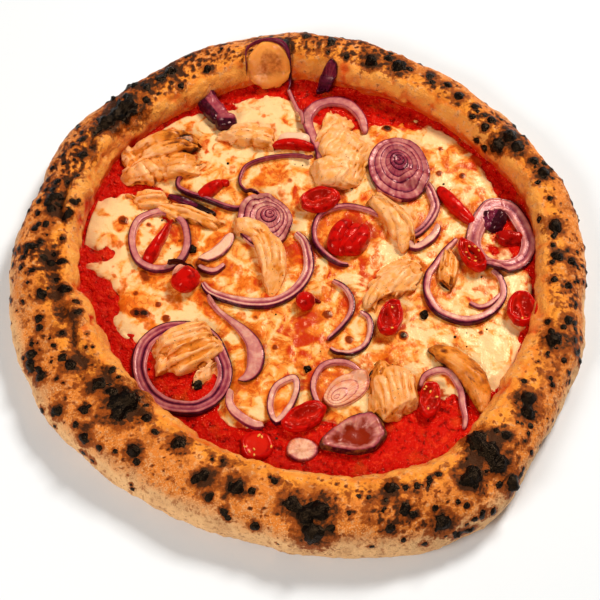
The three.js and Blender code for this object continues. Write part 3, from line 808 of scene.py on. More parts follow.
@dataclass(frozen=True)
class OnionFinish:
    """Roast red onion: thin purple skins round wet, faintly see-through lilac flesh."""

    white: str = "#f2bc98"
    lilac: str = "#cb7a6e"
    mauve: str = "#9c3c46"
    purple: str = "#681430"
    skin: str = "#340614"
    amber: str = "#f8983a"
    stew: str = "#8a2006"
    burnt: str = "#1a0a06"

    def material(self) -> bpy.types.Material:
        """Tone runs from white flesh to dark skin, amber where it cooked through and black where it burnt."""
        r = Recipe("roast_red_onion")
        streaks, fine = r.grains(2.4, 3), r.grains(0.8, 2)
        tone, cooked, stewed, black = (
            r.sum("ADD", r.mark(name), r.swung(streaks, most))
            for name, most in (("tone", 0.35), ("amber", 0.6), ("stew", 0.7), ("burn", 0.7))
        )
        stops = [(0.03, self.white), (0.28, self.lilac), (0.52, self.mauve), (0.75, self.purple)]
        colour = r.add("ValToRGB", {"Fac": tone}, [*stops, (0.93, self.skin)]).outputs["Color"]
        colour = r.layered(
            colour, (cooked, 0.1, 0.9, 0.95, self.amber), (stewed, 0.15, 0.9, 1.0, self.stew),
            (black, 0.35, 0.8, 0.95, self.burnt),
        )  # fmt: skip
        bumps = [(streaks, 0.5, 0.3), (fine, 0.25, 0.25)]
        return r.surface(
            colour, 0.22, bumps, Subsurface_Weight=0.2, Subsurface_Scale=0.0025, Specular_IOR_Level=0.35,
            Specular_Tint=linear("#ffc4b4"),
        )  # fmt: skip


@dataclass(frozen=True)
class PepperFinish:
    """Small red peppers and tomatoes: waxy tight skin, and wet orange-red flesh and yellow seeds inside."""

    skin: str = "#c80a04"
    deep: str = "#720302"
    flesh: str = "#d8200e"
    pith: str = "#f4bc94"
    seed: str = "#f2a848"
    burnt: str = "#1d0906"

    def material(self) -> bpy.types.Material:
        """Skin, flesh and seeds by their marks, painted darker in the hollows as shade, and black where the
        fire was.
        """
        r = Recipe("red_pepper_skin")
        mottle, fine = r.grains(3.5, 3), r.grains(0.9, 2)
        wet = r.sum("ADD", r.mark("flesh"), r.swung(mottle, 0.8))
        black = r.sum("ADD", r.mark("burn"), r.swung(mottle, 0.7))
        colour = r.layered(self.skin, (mottle, 0.55, 0.3, 0.7, self.deep), (wet, 0.3, 0.9, 0.85, self.flesh))
        # Painted shade in the hollows, by the deep mark.
        colour = r.blend(r.sum("MULTIPLY", r.mark("deep"), 0.55), colour, self.deep)
        colour = r.blend(r.mark("pith"), colour, self.pith)
        colour = r.layered(
            colour, (r.mark("seed"), 0.4, 0.6, 1.0, self.seed), (black, 0.4, 0.8, 0.95, self.burnt)
        )
        bumps = [(mottle, 0.6, 0.3), (fine, 0.2, 0.2)]
        return r.surface(
            colour, 0.2, bumps, Subsurface_Weight=0.08, Subsurface_Scale=0.002, Specular_IOR_Level=0.4,
            Specular_Tint=linear("#ff9880"),
        )  # fmt: skip


@dataclass(frozen=True)
class FloorFinish:
    """Matt white studio paper."""

    white: str = "#ececea"

    def material(self) -> bpy.types.Material:
        """White, with a trace of paper tooth."""
        r = Recipe("matt_white_paper")
        tooth = r.grains(4, 2)
        colour = r.layered(self.white, (tooth, 0.3, 0.7, 0.02, "#dcdcda"))
        return r.surface(colour, 0.9, [(tooth, 0.05, 0.2)], Specular_IOR_Level=0.2)


# The crust

# Charred blisters of the crust, by their middles and half widths in the photograph's pixels
CRUST_SPOTS = (
    (107, 119, 10), (127, 104, 12.5), (119, 111, 10), (113, 96, 5), (135, 85, 5), (147, 86, 5),
    (145, 98, 4), (159, 78, 5), (171, 70, 6.5), (168, 63, 3), (188, 56, 5), (208, 66, 5), (221, 46, 2.5),
    (284, 42, 6), (273, 38, 4), (271, 32, 2.5), (95, 130, 2.5), (82, 137, 4), (82, 154, 5), (73, 143, 3),
    (55, 179, 3.5), (51, 195, 5), (50, 205, 5.5), (38, 200, 3), (36, 211, 3.5), (44, 221, 4.5),
    (46, 232, 3), (43, 254, 4), (50, 260, 4), (58, 288, 3), (41, 293, 5.5), (28, 283, 3.5), (23, 256, 2.5),
    (21, 267, 3), (31, 243, 3), (51, 166, 3), (307, 36, 4.5), (332, 40, 5), (348, 54, 3.5), (372, 58, 7.5),
    (400, 63, 8), (390, 55, 5), (411, 66, 4), (432, 73, 5), (434, 81, 4), (449, 84, 4.5), (461, 95, 5.5),
    (477, 105, 4), (487, 113, 3.5), (487, 125, 4.5), (480, 138, 3.5), (488, 146, 4), (500, 143, 7.5),
    (511, 134, 7.5), (521, 145, 7), (493, 117, 5), (536, 159, 4.5), (545, 170, 6.5), (543, 219, 3.5),
    (558, 224, 7), (559, 255, 5), (575, 261, 5.5), (570, 285, 5), (37, 317, 4), (37, 326, 4), (29, 353, 6),
    (29, 365, 6), (39, 376, 6), (35, 342, 3), (52, 344, 3), (61, 356, 4), (69, 363, 5.5), (50, 360, 2.5),
    (56, 378, 2), (57, 411, 5.5), (84, 409, 5.5), (77, 424, 3.5), (84, 436, 6), (99, 447, 3.5),
    (115, 450, 3), (133, 450, 6.5), (136, 461, 3.5), (98, 382, 7.5), (112, 391, 5.5), (123, 403, 13),
    (119, 413, 9), (146, 417, 5), (155, 430, 4), (178, 442, 7), (82, 455, 4), (90, 462, 4), (132, 489, 2.5),
    (196, 478, 5), (205, 475, 5.5), (237, 486, 7), (252, 490, 3.5), (208, 497, 3.5), (228, 518, 3),
    (255, 526, 4.5), (293, 503, 8), (223, 460, 3.5), (306, 513, 9), (320, 510, 10), (314, 533, 11),
    (392, 486, 6), (406, 509, 5.5), (387, 500, 3), (384, 511, 2.5), (390, 528, 5), (445, 523, 9),
    (460, 535, 5), (471, 530, 5), (513, 483, 8), (480, 441, 10), (491, 449, 10), (501, 463, 9.5),
    (476, 472, 9), (468, 478, 7), (508, 436, 5.5), (478, 485, 3), (490, 484, 2), (530, 398, 8),
    (531, 411, 7.5), (556, 338, 9), (554, 330, 4.5), (571, 318, 5.5), (549, 320, 3.5), (439, 458, 3),
    (460, 501, 3), (437, 507, 3), (430, 486, 3), (493, 510, 4), (532, 451, 3), (520, 421, 2),
)  # fmt: skip


@dataclass(frozen=True)
class Dough:
    """The base and the puffed rim: one closed skin, with charred blisters and small leopard spots."""

    bed: Bed
    camera: Camera
    columns: int = 880
    rows: tuple[int, int, int] = (34, 42, 12)  # up the inner wall, down the outer, and under
    specks: int = 620
    seed: int = 5
    fold_at: float = 175.0  # degrees round to where the crown folds over the inner wall
    fire_at: float = 95.0  # to where the rim lay nearest to the fire
    speckled_at: float = 165.0  # and to where it is speckled most, there and across from there
    calm: tuple[tuple[float, float, float], ...] = ((-21, 144, 17), (13, 136, 9))  # x, y, reach, under onions
    # The rough lumps of its skin, as noise: the height, size, seed and octaves of each
    relief: tuple[tuple[float, float, int, int], ...] = ((1.5, 17, 3, 2), (0.8, 6, 9, 2), (0.35, 2.4, 4, 1))

    def spots(self) -> tuple[Array, Array]:
        """Middles and half widths of the photographed blisters, and of seeded specks between them."""
        table = np.array(CRUST_SPOTS, float)
        placed = self.camera.land(table[:, :2], self.bed.rim.top)
        draw = np.random.default_rng(self.seed)
        turn = draw.uniform(0, FULL_TURN, self.specks)
        thick = 0.2 + 0.8 * np.cos(turn - np.radians(self.speckled_at)) ** 2
        over = draw.uniform(0.38, 0.93, self.specks) * np.pi
        kept = draw.uniform(0, 1, self.specks) < thick
        half = draw.uniform(0.5, 1.0, self.specks) ** 2 * 2.2
        reach, height = self.bed.rim.skin(turn, over)
        seeded = points_at(reach * np.cos(turn), reach * np.sin(turn), height)
        middles = np.concatenate([placed, seeded[kept]])
        return middles, np.concatenate([table[:, 2] * PIXEL, half[kept]])

    def skin(self) -> tuple[Array, Array]:
        """The grid of the smooth skin, and the way over the rim at each of its points."""
        steps = [
            np.linspace(part * QUARTER, (part + 1) * QUARTER, count + 1)[min(part, 1) :]
            for part, count in enumerate(self.rows)
        ]
        turn, over = round_grid(self.columns, np.concatenate(steps))
        reach, height = self.bed.rim.skin(turn, over)
        level = np.minimum(over, np.pi)
        swell = self.bed.rim.lumps(turn, level) * np.sin(np.minimum(over, QUARTER))
        swell *= np.cos(np.maximum(over - np.pi, 0))
        reach, height = reach - swell * np.cos(level), height + swell * np.sin(level)
        none = np.zeros(self.columns)
        reach = np.concatenate([[none, 0.6 * reach[0]], reach, [0.6 * reach[-1], none]])
        height = np.pad(height, ((2, 2), (0, 0)), constant_values=((self.bed.rim.base, 0), (0, 0)))
        turn = np.broadcast_to(turn[0], reach.shape)
        over = np.pad(over, ((2, 2), (0, 0)), "edge")
        return points_at(reach * np.cos(turn), reach * np.sin(turn), height), over

    def charred(self, grid: Array) -> tuple[Array, Array, Array]:
        """How charred, how browned round that and how domed the skin is: the most over the spots of each."""
        char, halo, dome = (np.zeros(grid.shape[:-1]) for _ in range(3))
        ragged = 0.5 * noise(grid, 3.2, 21, 2)
        for middle, half in zip(*self.spots()):
            near = np.linalg.norm(grid - middle, axis=-1) / half + ragged
            np.maximum(char, smooth(1.25, 0.7, near) * min(1, 0.35 + half / 2.5), out=char)
            np.maximum(halo, smooth(2.3 + 0.1 * half, 0.9, near) * min(0.75, 0.25 + half / 8), out=halo)
            np.maximum(dome, smooth(1.2, 0.1, near) * min(0.24 * half, 1.2), out=dome)
        return char, halo, dome

    def fitted(self, grid: Array) -> Array:
        """The grid above the floor and inside its solid's box, scaled down on an axis where it is longer."""
        grid[..., 2] = np.maximum(grid[..., 2], 0)
        low, high = (np.array(corner) / MM - ROW_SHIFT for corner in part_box("dough"))
        least, most = grid.min((0, 1)), grid.max((0, 1))
        return (grid - least) * np.minimum(1, (high - low) / (most - least)) + np.maximum(least, low)

    def shell(self) -> Shell:
        """The skin, pushed out along its normals by rough lumps and blisters, with marks for its colours."""
        grid, over = self.skin()
        normals = grid_normals(grid)
        normals *= np.sign(normals[self.rows[0] + 2, :, 2].mean())
        loose = smooth(0.0, 0.5, over) * smooth(2.9 * QUARTER, 2.3 * QUARTER, over)
        turn = np.arctan2(grid[..., 1], grid[..., 0])
        push = sum(height * noise(grid, size, seed, octaves) for height, size, seed, octaves in self.relief)
        folded = smooth(0.5, 1.0, np.cos(turn - np.radians(self.fold_at)) + 0.5 * noise(grid, 22, 62))
        over = over - 0.34 * folded * smooth(2.4, 1.4, over) * smooth(0.2, 0.9, over)
        inside = smooth(0.15, 0.5, over) * smooth(1.35, 1.0, over)
        large, small = bubbles(grid, 13, 60), bubbles(grid, 5, 61)
        push += inside * ((2.6 + 3.4 * folded) * large + 1.1 * small - 1.3)
        crease = np.exp(-(((over - 1.2 - 0.3 * noise(grid, 17, 63)) / 0.14) ** 2))
        push -= 2.4 * folded * crease
        for px, py, reach in self.calm:
            push *= 1 - 0.9 * smooth(1.3, 0.8, np.hypot(grid[..., 0] - px, grid[..., 1] - py) / reach)
        char, halo, dome = self.charred(grid)
        crowded = (bubbles(grid, 3.6, 8) + 0.5 * bubbles(grid, 1.9, 10)) * smooth(0.3, 0.9, dome) * 1.7
        push = push * loose + (dome + crowded + 0.25 * char) * np.minimum(1, loose + 0.2)
        grid = self.fitted(grid + normals * push[..., None])
        # The fold's crease is painted darker through the toast mark, as painted shade.
        toast = halo + self.toasted(grid, over, turn) + 0.8 * folded * crease
        red = noise(grid, 5, 15, 2) + 0.35 * np.cos(turn - 0.1) + 0.15 * folded
        smear = smooth(1.05, 0.1, over + 0.6 * noise(grid, 12, 16, 2)) * smooth(-0.39, 0.06, red)
        smear = smear * (1 - 0.5 * smooth(0.3, 0.8, large)) + 0.7 * folded * smooth(0.9, 0.2, over) * smear
        front = 0.03 * smooth(0.3, 0.9, -np.sin(turn)) * smooth(0.9, 1.5, over)
        return woven(grid, {
            "over": over / np.pi + front, "char": char, "toast": toast, "smear": np.minimum(smear, 1),
            "blister": inside * (0.7 * large + 0.5 * small),
        })  # fmt: skip

    def toasted(self, grid: Array, over: Array, turn: Array) -> Array:
        """How toasted the crown is between its blisters: soft patches by noise, or small leopard spots."""
        near_fire = 0.3 * np.cos(turn - np.radians(self.fire_at))
        freckles = np.maximum(bubbles(grid, 4.0, 64), 0.92 * bubbles(grid, 2.5, 65))
        freckles += 0.2 * noise(grid, 1.8, 66)
        busy = smooth(-0.3, 0.5, noise(grid, 19, 13) + 1.4 * near_fire)
        patchy = 0.6 * noise(grid, 4.5, 12, 2) + 0.5 * noise(grid, 11, 14) - 0.15 * near_fire
        leopard = 0.95 * smooth(0.92 - 0.2 * busy, 1.12 - 0.2 * busy, freckles)
        crown = smooth(0.95, 1.45, over) * smooth(2.9, 2.1, over)
        return np.maximum(0.5 * smooth(0.05, 0.45, patchy), leopard) * crown


@dataclass(frozen=True)
class SauceSheet:
    """Sauce over the base, out to the rim and a little up its wall."""

    bed: Bed
    columns: int = 640
    rows: int = 96
    low: float = 4.3  # the level of its underside

    def shell(self) -> Shell:
        """Rows crowd towards the edge, where the sauce shows. Its top has low lumps and pulp."""
        turn, row = round_grid(self.columns, np.linspace(0, 1, self.rows))
        edge = self.bed.rim.section(turn)[1] + 0.7
        reach = edge * (1 - (1 - row) ** 1.7)
        x, y = reach * np.cos(turn), reach * np.sin(turn)
        flat = points_at(x, y)
        pulp = 0.6 * noise(flat, 7, 40, 2) + 0.5 * noise(flat, 3.4, 41)
        climb = 2.6 * smooth(edge - 3.2, edge, reach + noise(flat, 6, 43) * 1.5)
        top = self.bed.sauce_level + self.bed.lumps(x, y) + pulp + climb
        return disc(x, y, top, self.low, {"dark": smooth(edge - 3, edge + 1, reach) * 0.55})


# Toasted spots of the cheese, in the photograph's pixels: x, y, half width and how dark each is
CHEESE_SPOTS = (
    (123, 220, 5.5, 0.9), (149, 225, 3, 0.7), (143, 274, 6.5, 0.7), (114, 275, 2.5, 0.5),
    (136, 293, 3.3, 0.7), (135, 312, 5, 1), (144, 313, 5, 0.9), (158, 304, 3.3, 0.8), (166, 318, 4, 0.8),
    (256, 317, 4, 0.45), (275, 347, 3.6, 0.8), (387, 128, 5, 1.25), (441, 148, 2.6, 0.7),
    (439, 173, 3.5, 0.8), (462, 175, 3.8, 0.9), (328, 314, 5.5, 0.8), (349, 340, 5, 0.85),
    (403, 335, 4.5, 1.1), (481, 332, 2.5, 0.6), (245, 195, 5, 0.4), (232, 168, 5, 0.3), (180, 240, 3, 0.6),
    (210, 222, 4, 0.8), (300, 365, 6, 0.5), (290, 180, 3, 0.5),
)  # fmt: skip
# Where oil gathered, and where the sauce stained the cheese: x, y, reach and strength, in pixels
OIL_PATCHES = (
    (262, 190, 42, 0.5), (226, 170, 24, 0.3), (345, 235, 38, 0.9), (300, 335, 48, 0.9), (250, 345, 26, 0.6),
    (200, 250, 30, 0.7), (420, 300, 26, 0.5), (150, 290, 26, 0.45), (330, 385, 22, 0.8),
    (245, 390, 22, 0.8), (480, 240, 18, 0.35), (385, 125, 30, 0.7), (455, 165, 26, 0.8),
    (475, 215, 26, 0.7), (430, 215, 24, 0.5), (455, 335, 26, 0.55), (120, 240, 14, 0.2),
    (170, 195, 20, 0.5), (140, 300, 24, 0.6), (265, 400, 22, 0.7), (225, 290, 30, 0.7), (440, 270, 18, 0.5),
    (395, 350, 26, 0.5), (305, 350, 26, 1.0), (290, 260, 22, 0.9), (410, 275, 18, 0.8), (465, 150, 20, 0.8),
)  # fmt: skip
STAINS = (
    (290, 195, 22, 0.4), (312, 250, 20, 0.7), (372, 275, 18, 0.6), (290, 320, 20, 0.7), (355, 225, 24, 0.5),
    (205, 150, 12, 0.4), (262, 165, 12, 0.3), (340, 300, 18, 0.4), (165, 262, 16, 0.4), (228, 345, 12, 0.3),
    (283, 330, 12, 0.9), (308, 352, 20, 0.8), (470, 160, 14, 0.6), (405, 330, 12, 0.6), (300, 370, 16, 0.5),
    (372, 225, 12, 0.6),
)  # fmt: skip


@dataclass(frozen=True)
class CheeseSheet:
    """The melted cheese: one sheet of joined pools that dips under the sauce where its strength runs out."""

    bed: Bed
    camera: Camera
    columns: int = 600
    rows: int = 122
    dip: float = 1.3  # how far under the sauce's level it lies where it is torn
    thin: float = 0.3  # and how thick it is there
    holes: tuple[tuple[float, float, float], ...] = ((-111, 20, 11), (-112, -9, 12))

    def shell(self) -> Shell:
        """The sheet's height follows its strength, made ragged by noise; its marks follow its spots."""
        cheese, level = self.bed.cheese, self.bed.sauce_level
        turn, out = round_grid(self.columns, np.linspace(0, 1, self.rows))
        foot = self.bed.rim.section(turn)[1] - 2
        reach = foot * out
        made = cheese.strength(reach * np.cos(turn), reach * np.sin(turn)) > 0.3
        reach = out * np.minimum(np.where(made, reach, 0).max(0) + 3, foot[0])
        x, y = reach * np.cos(turn), reach * np.sin(turn)
        flat = points_at(x, y)
        missing = sum(0.8 * np.exp(-((x - px) ** 2 + (y - py) ** 2) / half**2) for px, py, half in self.holes)
        ragged = 0.16 * noise(flat, 13, 50, 2) + 0.12 * noise(flat, 4.5, 51, 2)
        strength = cheese.strength(x, y) + ragged - missing
        lip = smooth(cheese.brim - 0.07, cheese.brim + 0.07, strength)
        hills = cheese.hills(x, y) + 0.5 * noise(flat, 8, 52, 2)
        full = smooth(cheese.brim, cheese.full, strength) * (cheese.thickness - cheese.edge + hills)
        toast = 1.15 * self.marked(flat, CHEESE_SPOTS, 1.55)
        browning = smooth(-0.1, 0.35, noise(flat, 20, 56) + 0.1)
        toast += 0.4 * smooth(0.1, 0.45, noise(flat, 6, 55, 2)) * browning
        top = level - self.dip + lip * (self.dip + cheese.gap + cheese.edge) + full
        top += 0.4 * smooth(0.4, 1.0, toast)
        top += 0.14 * noise(flat, 2.2, 53)
        # Round the toppings the oil and stain marks are raised, partly for their juice and partly as painted
        # contact shade.
        juice_and_shade = self.juice_and_shade_near(flat)
        edge_stain = 0.7 * smooth(cheese.brim + 0.2, cheese.brim, strength)
        return disc(x, y, top, level - self.dip - self.thin, {
            "oil": self.marked(flat, OIL_PATCHES, 1.7) + 0.5 * juice_and_shade,
            "stain": self.marked(flat, STAINS, 1.7) + edge_stain + 0.35 * juice_and_shade,
            "toast": toast,
        })  # fmt: skip

    def juice_and_shade_near(self, flat: Array) -> Array:
        """1 beside a topping and 0 from some millimetres away: where its juice ran out over the cheese, and
        painted contact shade round it.
        """
        x, y = flat[..., 0], flat[..., 1] + noise(flat, 5, 59, 2) * 2
        away = np.full(x.shape, 9.0)
        for band in (*ONION_BANDS.values(), *RING_LOWER_RIGHT, RING_THICK_RIGHT):
            for px, py, half, _ in band.mounds():
                np.minimum(away, np.hypot(x - px, y - py) - half, out=away)
        chunks = [chunk for piece in CHICKENS.values() for chunk in piece.chunks]
        rounds = [part for parts in RED_PIECES.values() for part in parts if not isinstance(part, Band)]
        for part in (*chunks, *rounds, *ONION_ROUNDS.values()):
            u, v = spun(x - part.x, y - part.y, -part.turned)
            out = np.hypot(2 * u / part.long, 2 * v / part.wide) - 1
            np.minimum(away, out * (part.long + part.wide) / 4, out=away)
        return smooth(4.5, 0.5, away)

    def marked(self, flat: Array, table: Sequence[tuple[float, ...]], soft: float) -> Array:
        """The most of strength x a bump over a table's patches, each x, y, half width and strength."""
        patches = np.array(table, float)
        middles = self.camera.land(patches[:, :2], self.bed.height)
        ragged = 0.3 * noise(flat, 4, 57, 2)
        made = np.zeros(flat.shape[:-1])
        for (px, py, _), half, strength in zip(middles, patches[:, 2] * PIXEL, patches[:, 3]):
            near = np.hypot(flat[..., 0] - px, (flat[..., 1] - py)) / half + ragged
            np.maximum(made, strength * smooth(soft, 0.35, near), out=made)
        return made


# Toppings

SINK = 1.2  # how deep the toppings lie in what carries them, from their solids' seats
BAND_SINK = 1.5  # the cheese melted round the onion rings
MOUND_SLOPE = 5.0  # how far out from a mound an onion comes down to the bed
BAND_SPREAD = 1.3  # the onion's soft flesh lies wider than its solid's band
ONION_GAP = 0.35
TOP_ROWS = 0.72  # the share of a round piece's rows that lie on its top
CHUNK_POWER = 0.8  # fills a chunk's ball out towards a block


def path_points(knots: Sequence[Point], closed: bool, step: float) -> tuple[Array, Array]:
    """A smooth path through knots.

    Between two knots it is the uniform Catmull-Rom curve, (1, t, t^2, t^3) times the curve's matrix and the
    four knots round it, and it is then divided by its length.

    Args:
        knots: the points that it goes through.
        closed: whether it ends where it starts.
        step: how far apart its points are.

    Returns:
        Its points and its directions, n x 2 each. A closed path's last point isn't its first again.
    """
    ring = np.array(knots, float)
    if closed:
        padded = np.concatenate([ring[-1:], ring, ring[:2]])
    else:
        padded = np.concatenate([2 * ring[:1] - ring[1:2], ring, 2 * ring[-1:] - ring[-2:-1]])
    t = np.linspace(0, 1, 24, endpoint=False)[:, None, None]
    a, b, c, d = (padded[i : len(padded) - 3 + i] for i in range(4))
    curve = b + 0.5 * t * ((c - a) + t * ((2 * a - 5 * b + 4 * c - d) + t * (3 * (b - c) + d - a)))
    fine = curve.transpose(1, 0, 2).reshape(-1, 2)
    fine = np.concatenate([fine, padded[-2:-1]])
    length = np.concatenate([[0], np.cumsum(np.linalg.norm(np.diff(fine, axis=0), axis=1))])
    count = max(12, round(length[-1] / step))
    at = np.linspace(0, length[-1], count, endpoint=not closed)

    def along(places: Array) -> Array:
        inside = places % length[-1] if closed else np.clip(places, 0, length[-1])
        return np.stack([np.interp(inside, length, fine[:, axis]) for axis in (0, 1)], -1)

    ahead = along(at + 0.6) - along(at - 0.6)
    return along(at), ahead / np.linalg.norm(ahead, axis=1, keepdims=True)


@dataclass
class Pile:
    """The onions already laid down, as round mounds that a later one is carried over."""

    bed: Bed
    mounds: list[Array] = field(default_factory=list)

    def carried(self, x: Array, y: Array) -> Array:
        """How much higher the onions lie there: the most of the mounds, each falling off over its slope."""
        made = np.zeros(np.shape(x))
        for px, py, reach, height in itertools.chain.from_iterable(self.mounds):
            out = np.hypot(x - px, y - py)
            if out.min() < reach + MOUND_SLOPE:
                np.maximum(made, height * (1 - smooth(reach, reach + MOUND_SLOPE, out)), out=made)
        return made


@dataclass(frozen=True)
class Band:
    """A strip of red onion, or a stem, lying along a path."""

    path: tuple[Point, ...]
    width: float
    height: float = 4.0
    closed: bool = False
    ends: float = 0.5
    layers: int = 1
    tones: tuple[float, float, float] = (0.2, 0.2, 0.9)  # of its inner side, its cut face and its outer side
    dark: float = 0.24  # how much of each layer's width its skin's colour takes
    amber: float = 0.0
    burn: float = 0.0
    burnt_at: tuple[float, float] | None = None  # middle and half width, as shares of its length
    step: float = 1.0
    widest: float = 0.5  # share of its length
    rise: float = 0.0  # how far it is held off what it lies on

    def shell(self, pile: Pile, seed: int) -> Shell:
        """A rounded rectangle carried along the path, uneven in size, and grooved between its layers."""
        places, ahead = path_points(self.path, self.closed, self.step)
        count = len(places)
        share = np.arange(count) / (count if self.closed else count - 1)
        ride = np.concatenate([places, np.zeros((count, 1))], 1)
        uneven = 1 + 0.15 * noise(ride, 14, seed, 2)
        wavy = 1 + 0.2 * noise(ride, 12, seed + 1, 2)
        full = np.ones(count)
        if not self.closed:
            power = np.log(0.5) / np.log(self.widest)
            full = self.ends + (1 - self.ends) * np.sin(np.pi * share**power) ** (0.5 * power)
            tip = np.minimum(share, 1 - share) * count * self.step / (0.55 * self.width)
            uneven = uneven * np.sqrt(1 - (1 - np.clip(tip, 0, 1)) ** 2)
        columns = 20 + 8 * self.layers
        corner = np.arange(columns) / columns * FULL_TURN
        across, up = blunt(np.cos(corner), 0.5), 0.5 + 0.5 * blunt(np.sin(corner), 0.5)
        outward = 1 if self.area() > 0 else -1
        layer = (across * outward + 1) / 2 * self.layers
        groove = np.cos(np.pi * layer) ** 6 * (np.abs(across) < 0.93) if self.layers > 1 else 0 * across
        lean = 0.25 * self.width * noise(ride, 16, seed + 2, 2)
        side = across * BAND_SPREAD * self.width / 2 * (full * uneven)[:, None] + lean[:, None] * (up - 0.5)
        x = places[:, :1] + side * ahead[:, 1:]
        y = places[:, 1:] - side * ahead[:, :1]
        tall = self.height * (0.6 + 0.4 * full) * wavy * np.minimum(1, uneven + 0.25)
        z = (up - 0.22 * groove * (up > 0.6))[None] * tall[:, None]
        z += pile.bed.height(x, y) + pile.carried(x, y) + self.rise - BAND_SINK
        grid = points_at(x, y, z)
        tone = self.toned(across * outward, layer) + 0.16 * noise(grid, 5, seed + 3, 2)
        burn = np.full(x.shape, self.burn)
        if self.burnt_at:
            middle, half = self.burnt_at
            burn = np.maximum(burn, smooth(half, 0.4 * half, np.abs(share - middle))[:, None])
        marks = {"tone": tone, "amber": np.full(x.shape, self.amber), "burn": burn}
        return woven(grid, marks, self.closed)

    def toned(self, outward: Array, layer: Array) -> Array:
        """Its tones round the section: pale flesh in each layer, its dark skin, and the two sides."""
        within = layer - np.floor(layer - 1e-9)
        inner, face, outer = self.tones
        tone = face + 0.2 * np.abs(2 * within - 1) ** 2 - 0.05
        tone = tone + (outer - tone) * smooth(1 - self.dark, 1 - 0.45 * self.dark, within)
        tone = tone + (max(face, 0.62) - tone) * smooth(0.12, 0.03, within)
        return np.where(outward > 0.85, outer, np.where(outward < -0.9, inner, tone))

    def area(self) -> float:
        """The signed area inside the path, joined from end to end: above 0 where it runs anticlockwise."""
        x, y = np.array(self.path, float).T
        return float((x * np.roll(y, -1) - y * np.roll(x, -1)).sum() / 2)

    def mounds(self) -> Array:
        """Its own mounds: x, y, reach and height at points along it."""
        places, _ = path_points(self.path, self.closed, 3.2)
        sizes = np.broadcast_to([self.width / 2, self.height + ONION_GAP], places.shape)
        return np.concatenate([places, sizes], 1)


class Profile(Enum):
    """Sections of round pieces, from the middle out over the top and down: (share of reach, of height)."""

    ONION_SLICE = (
        (0, 0.9), (0.25, 1), (0.4, 0.75), (0.62, 1), (0.78, 0.8), (0.97, 0.9), (1, 0.35), (0.93, 0)
    )  # fmt: skip
    ONION_BASIN = ((0, 0.35), (0.4, 0.4), (0.66, 0.85), (0.88, 1), (1, 0.6), (0.92, 0))
    THIN_SLICE = ((0, 0.7), (0.6, 0.75), (0.85, 1), (1, 0.6), (0.94, 0))
    HOLLOW_HALF = ((0, 0.45), (0.38, 0.4), (0.68, 0.8), (0.86, 1), (1, 0.55), (0.7, 0))
    WHOLE_BALL = ((0, 1), (0.45, 0.93), (0.85, 0.72), (1, 0.45), (0.8, 0.14), (0.3, 0))

    def drawn(self, rows: int) -> tuple[Array, Array]:
        """The section as a smooth path through its points, ending in the middle of the underside."""
        points, _ = path_points([*self.value, (0, 0)], False, 1 / 400)
        picked = points[np.linspace(0, len(points) - 1, rows).round().astype(int)]
        return np.clip(picked[:, 0], 0, 1), np.clip(picked[:, 1], 0, 1.05)


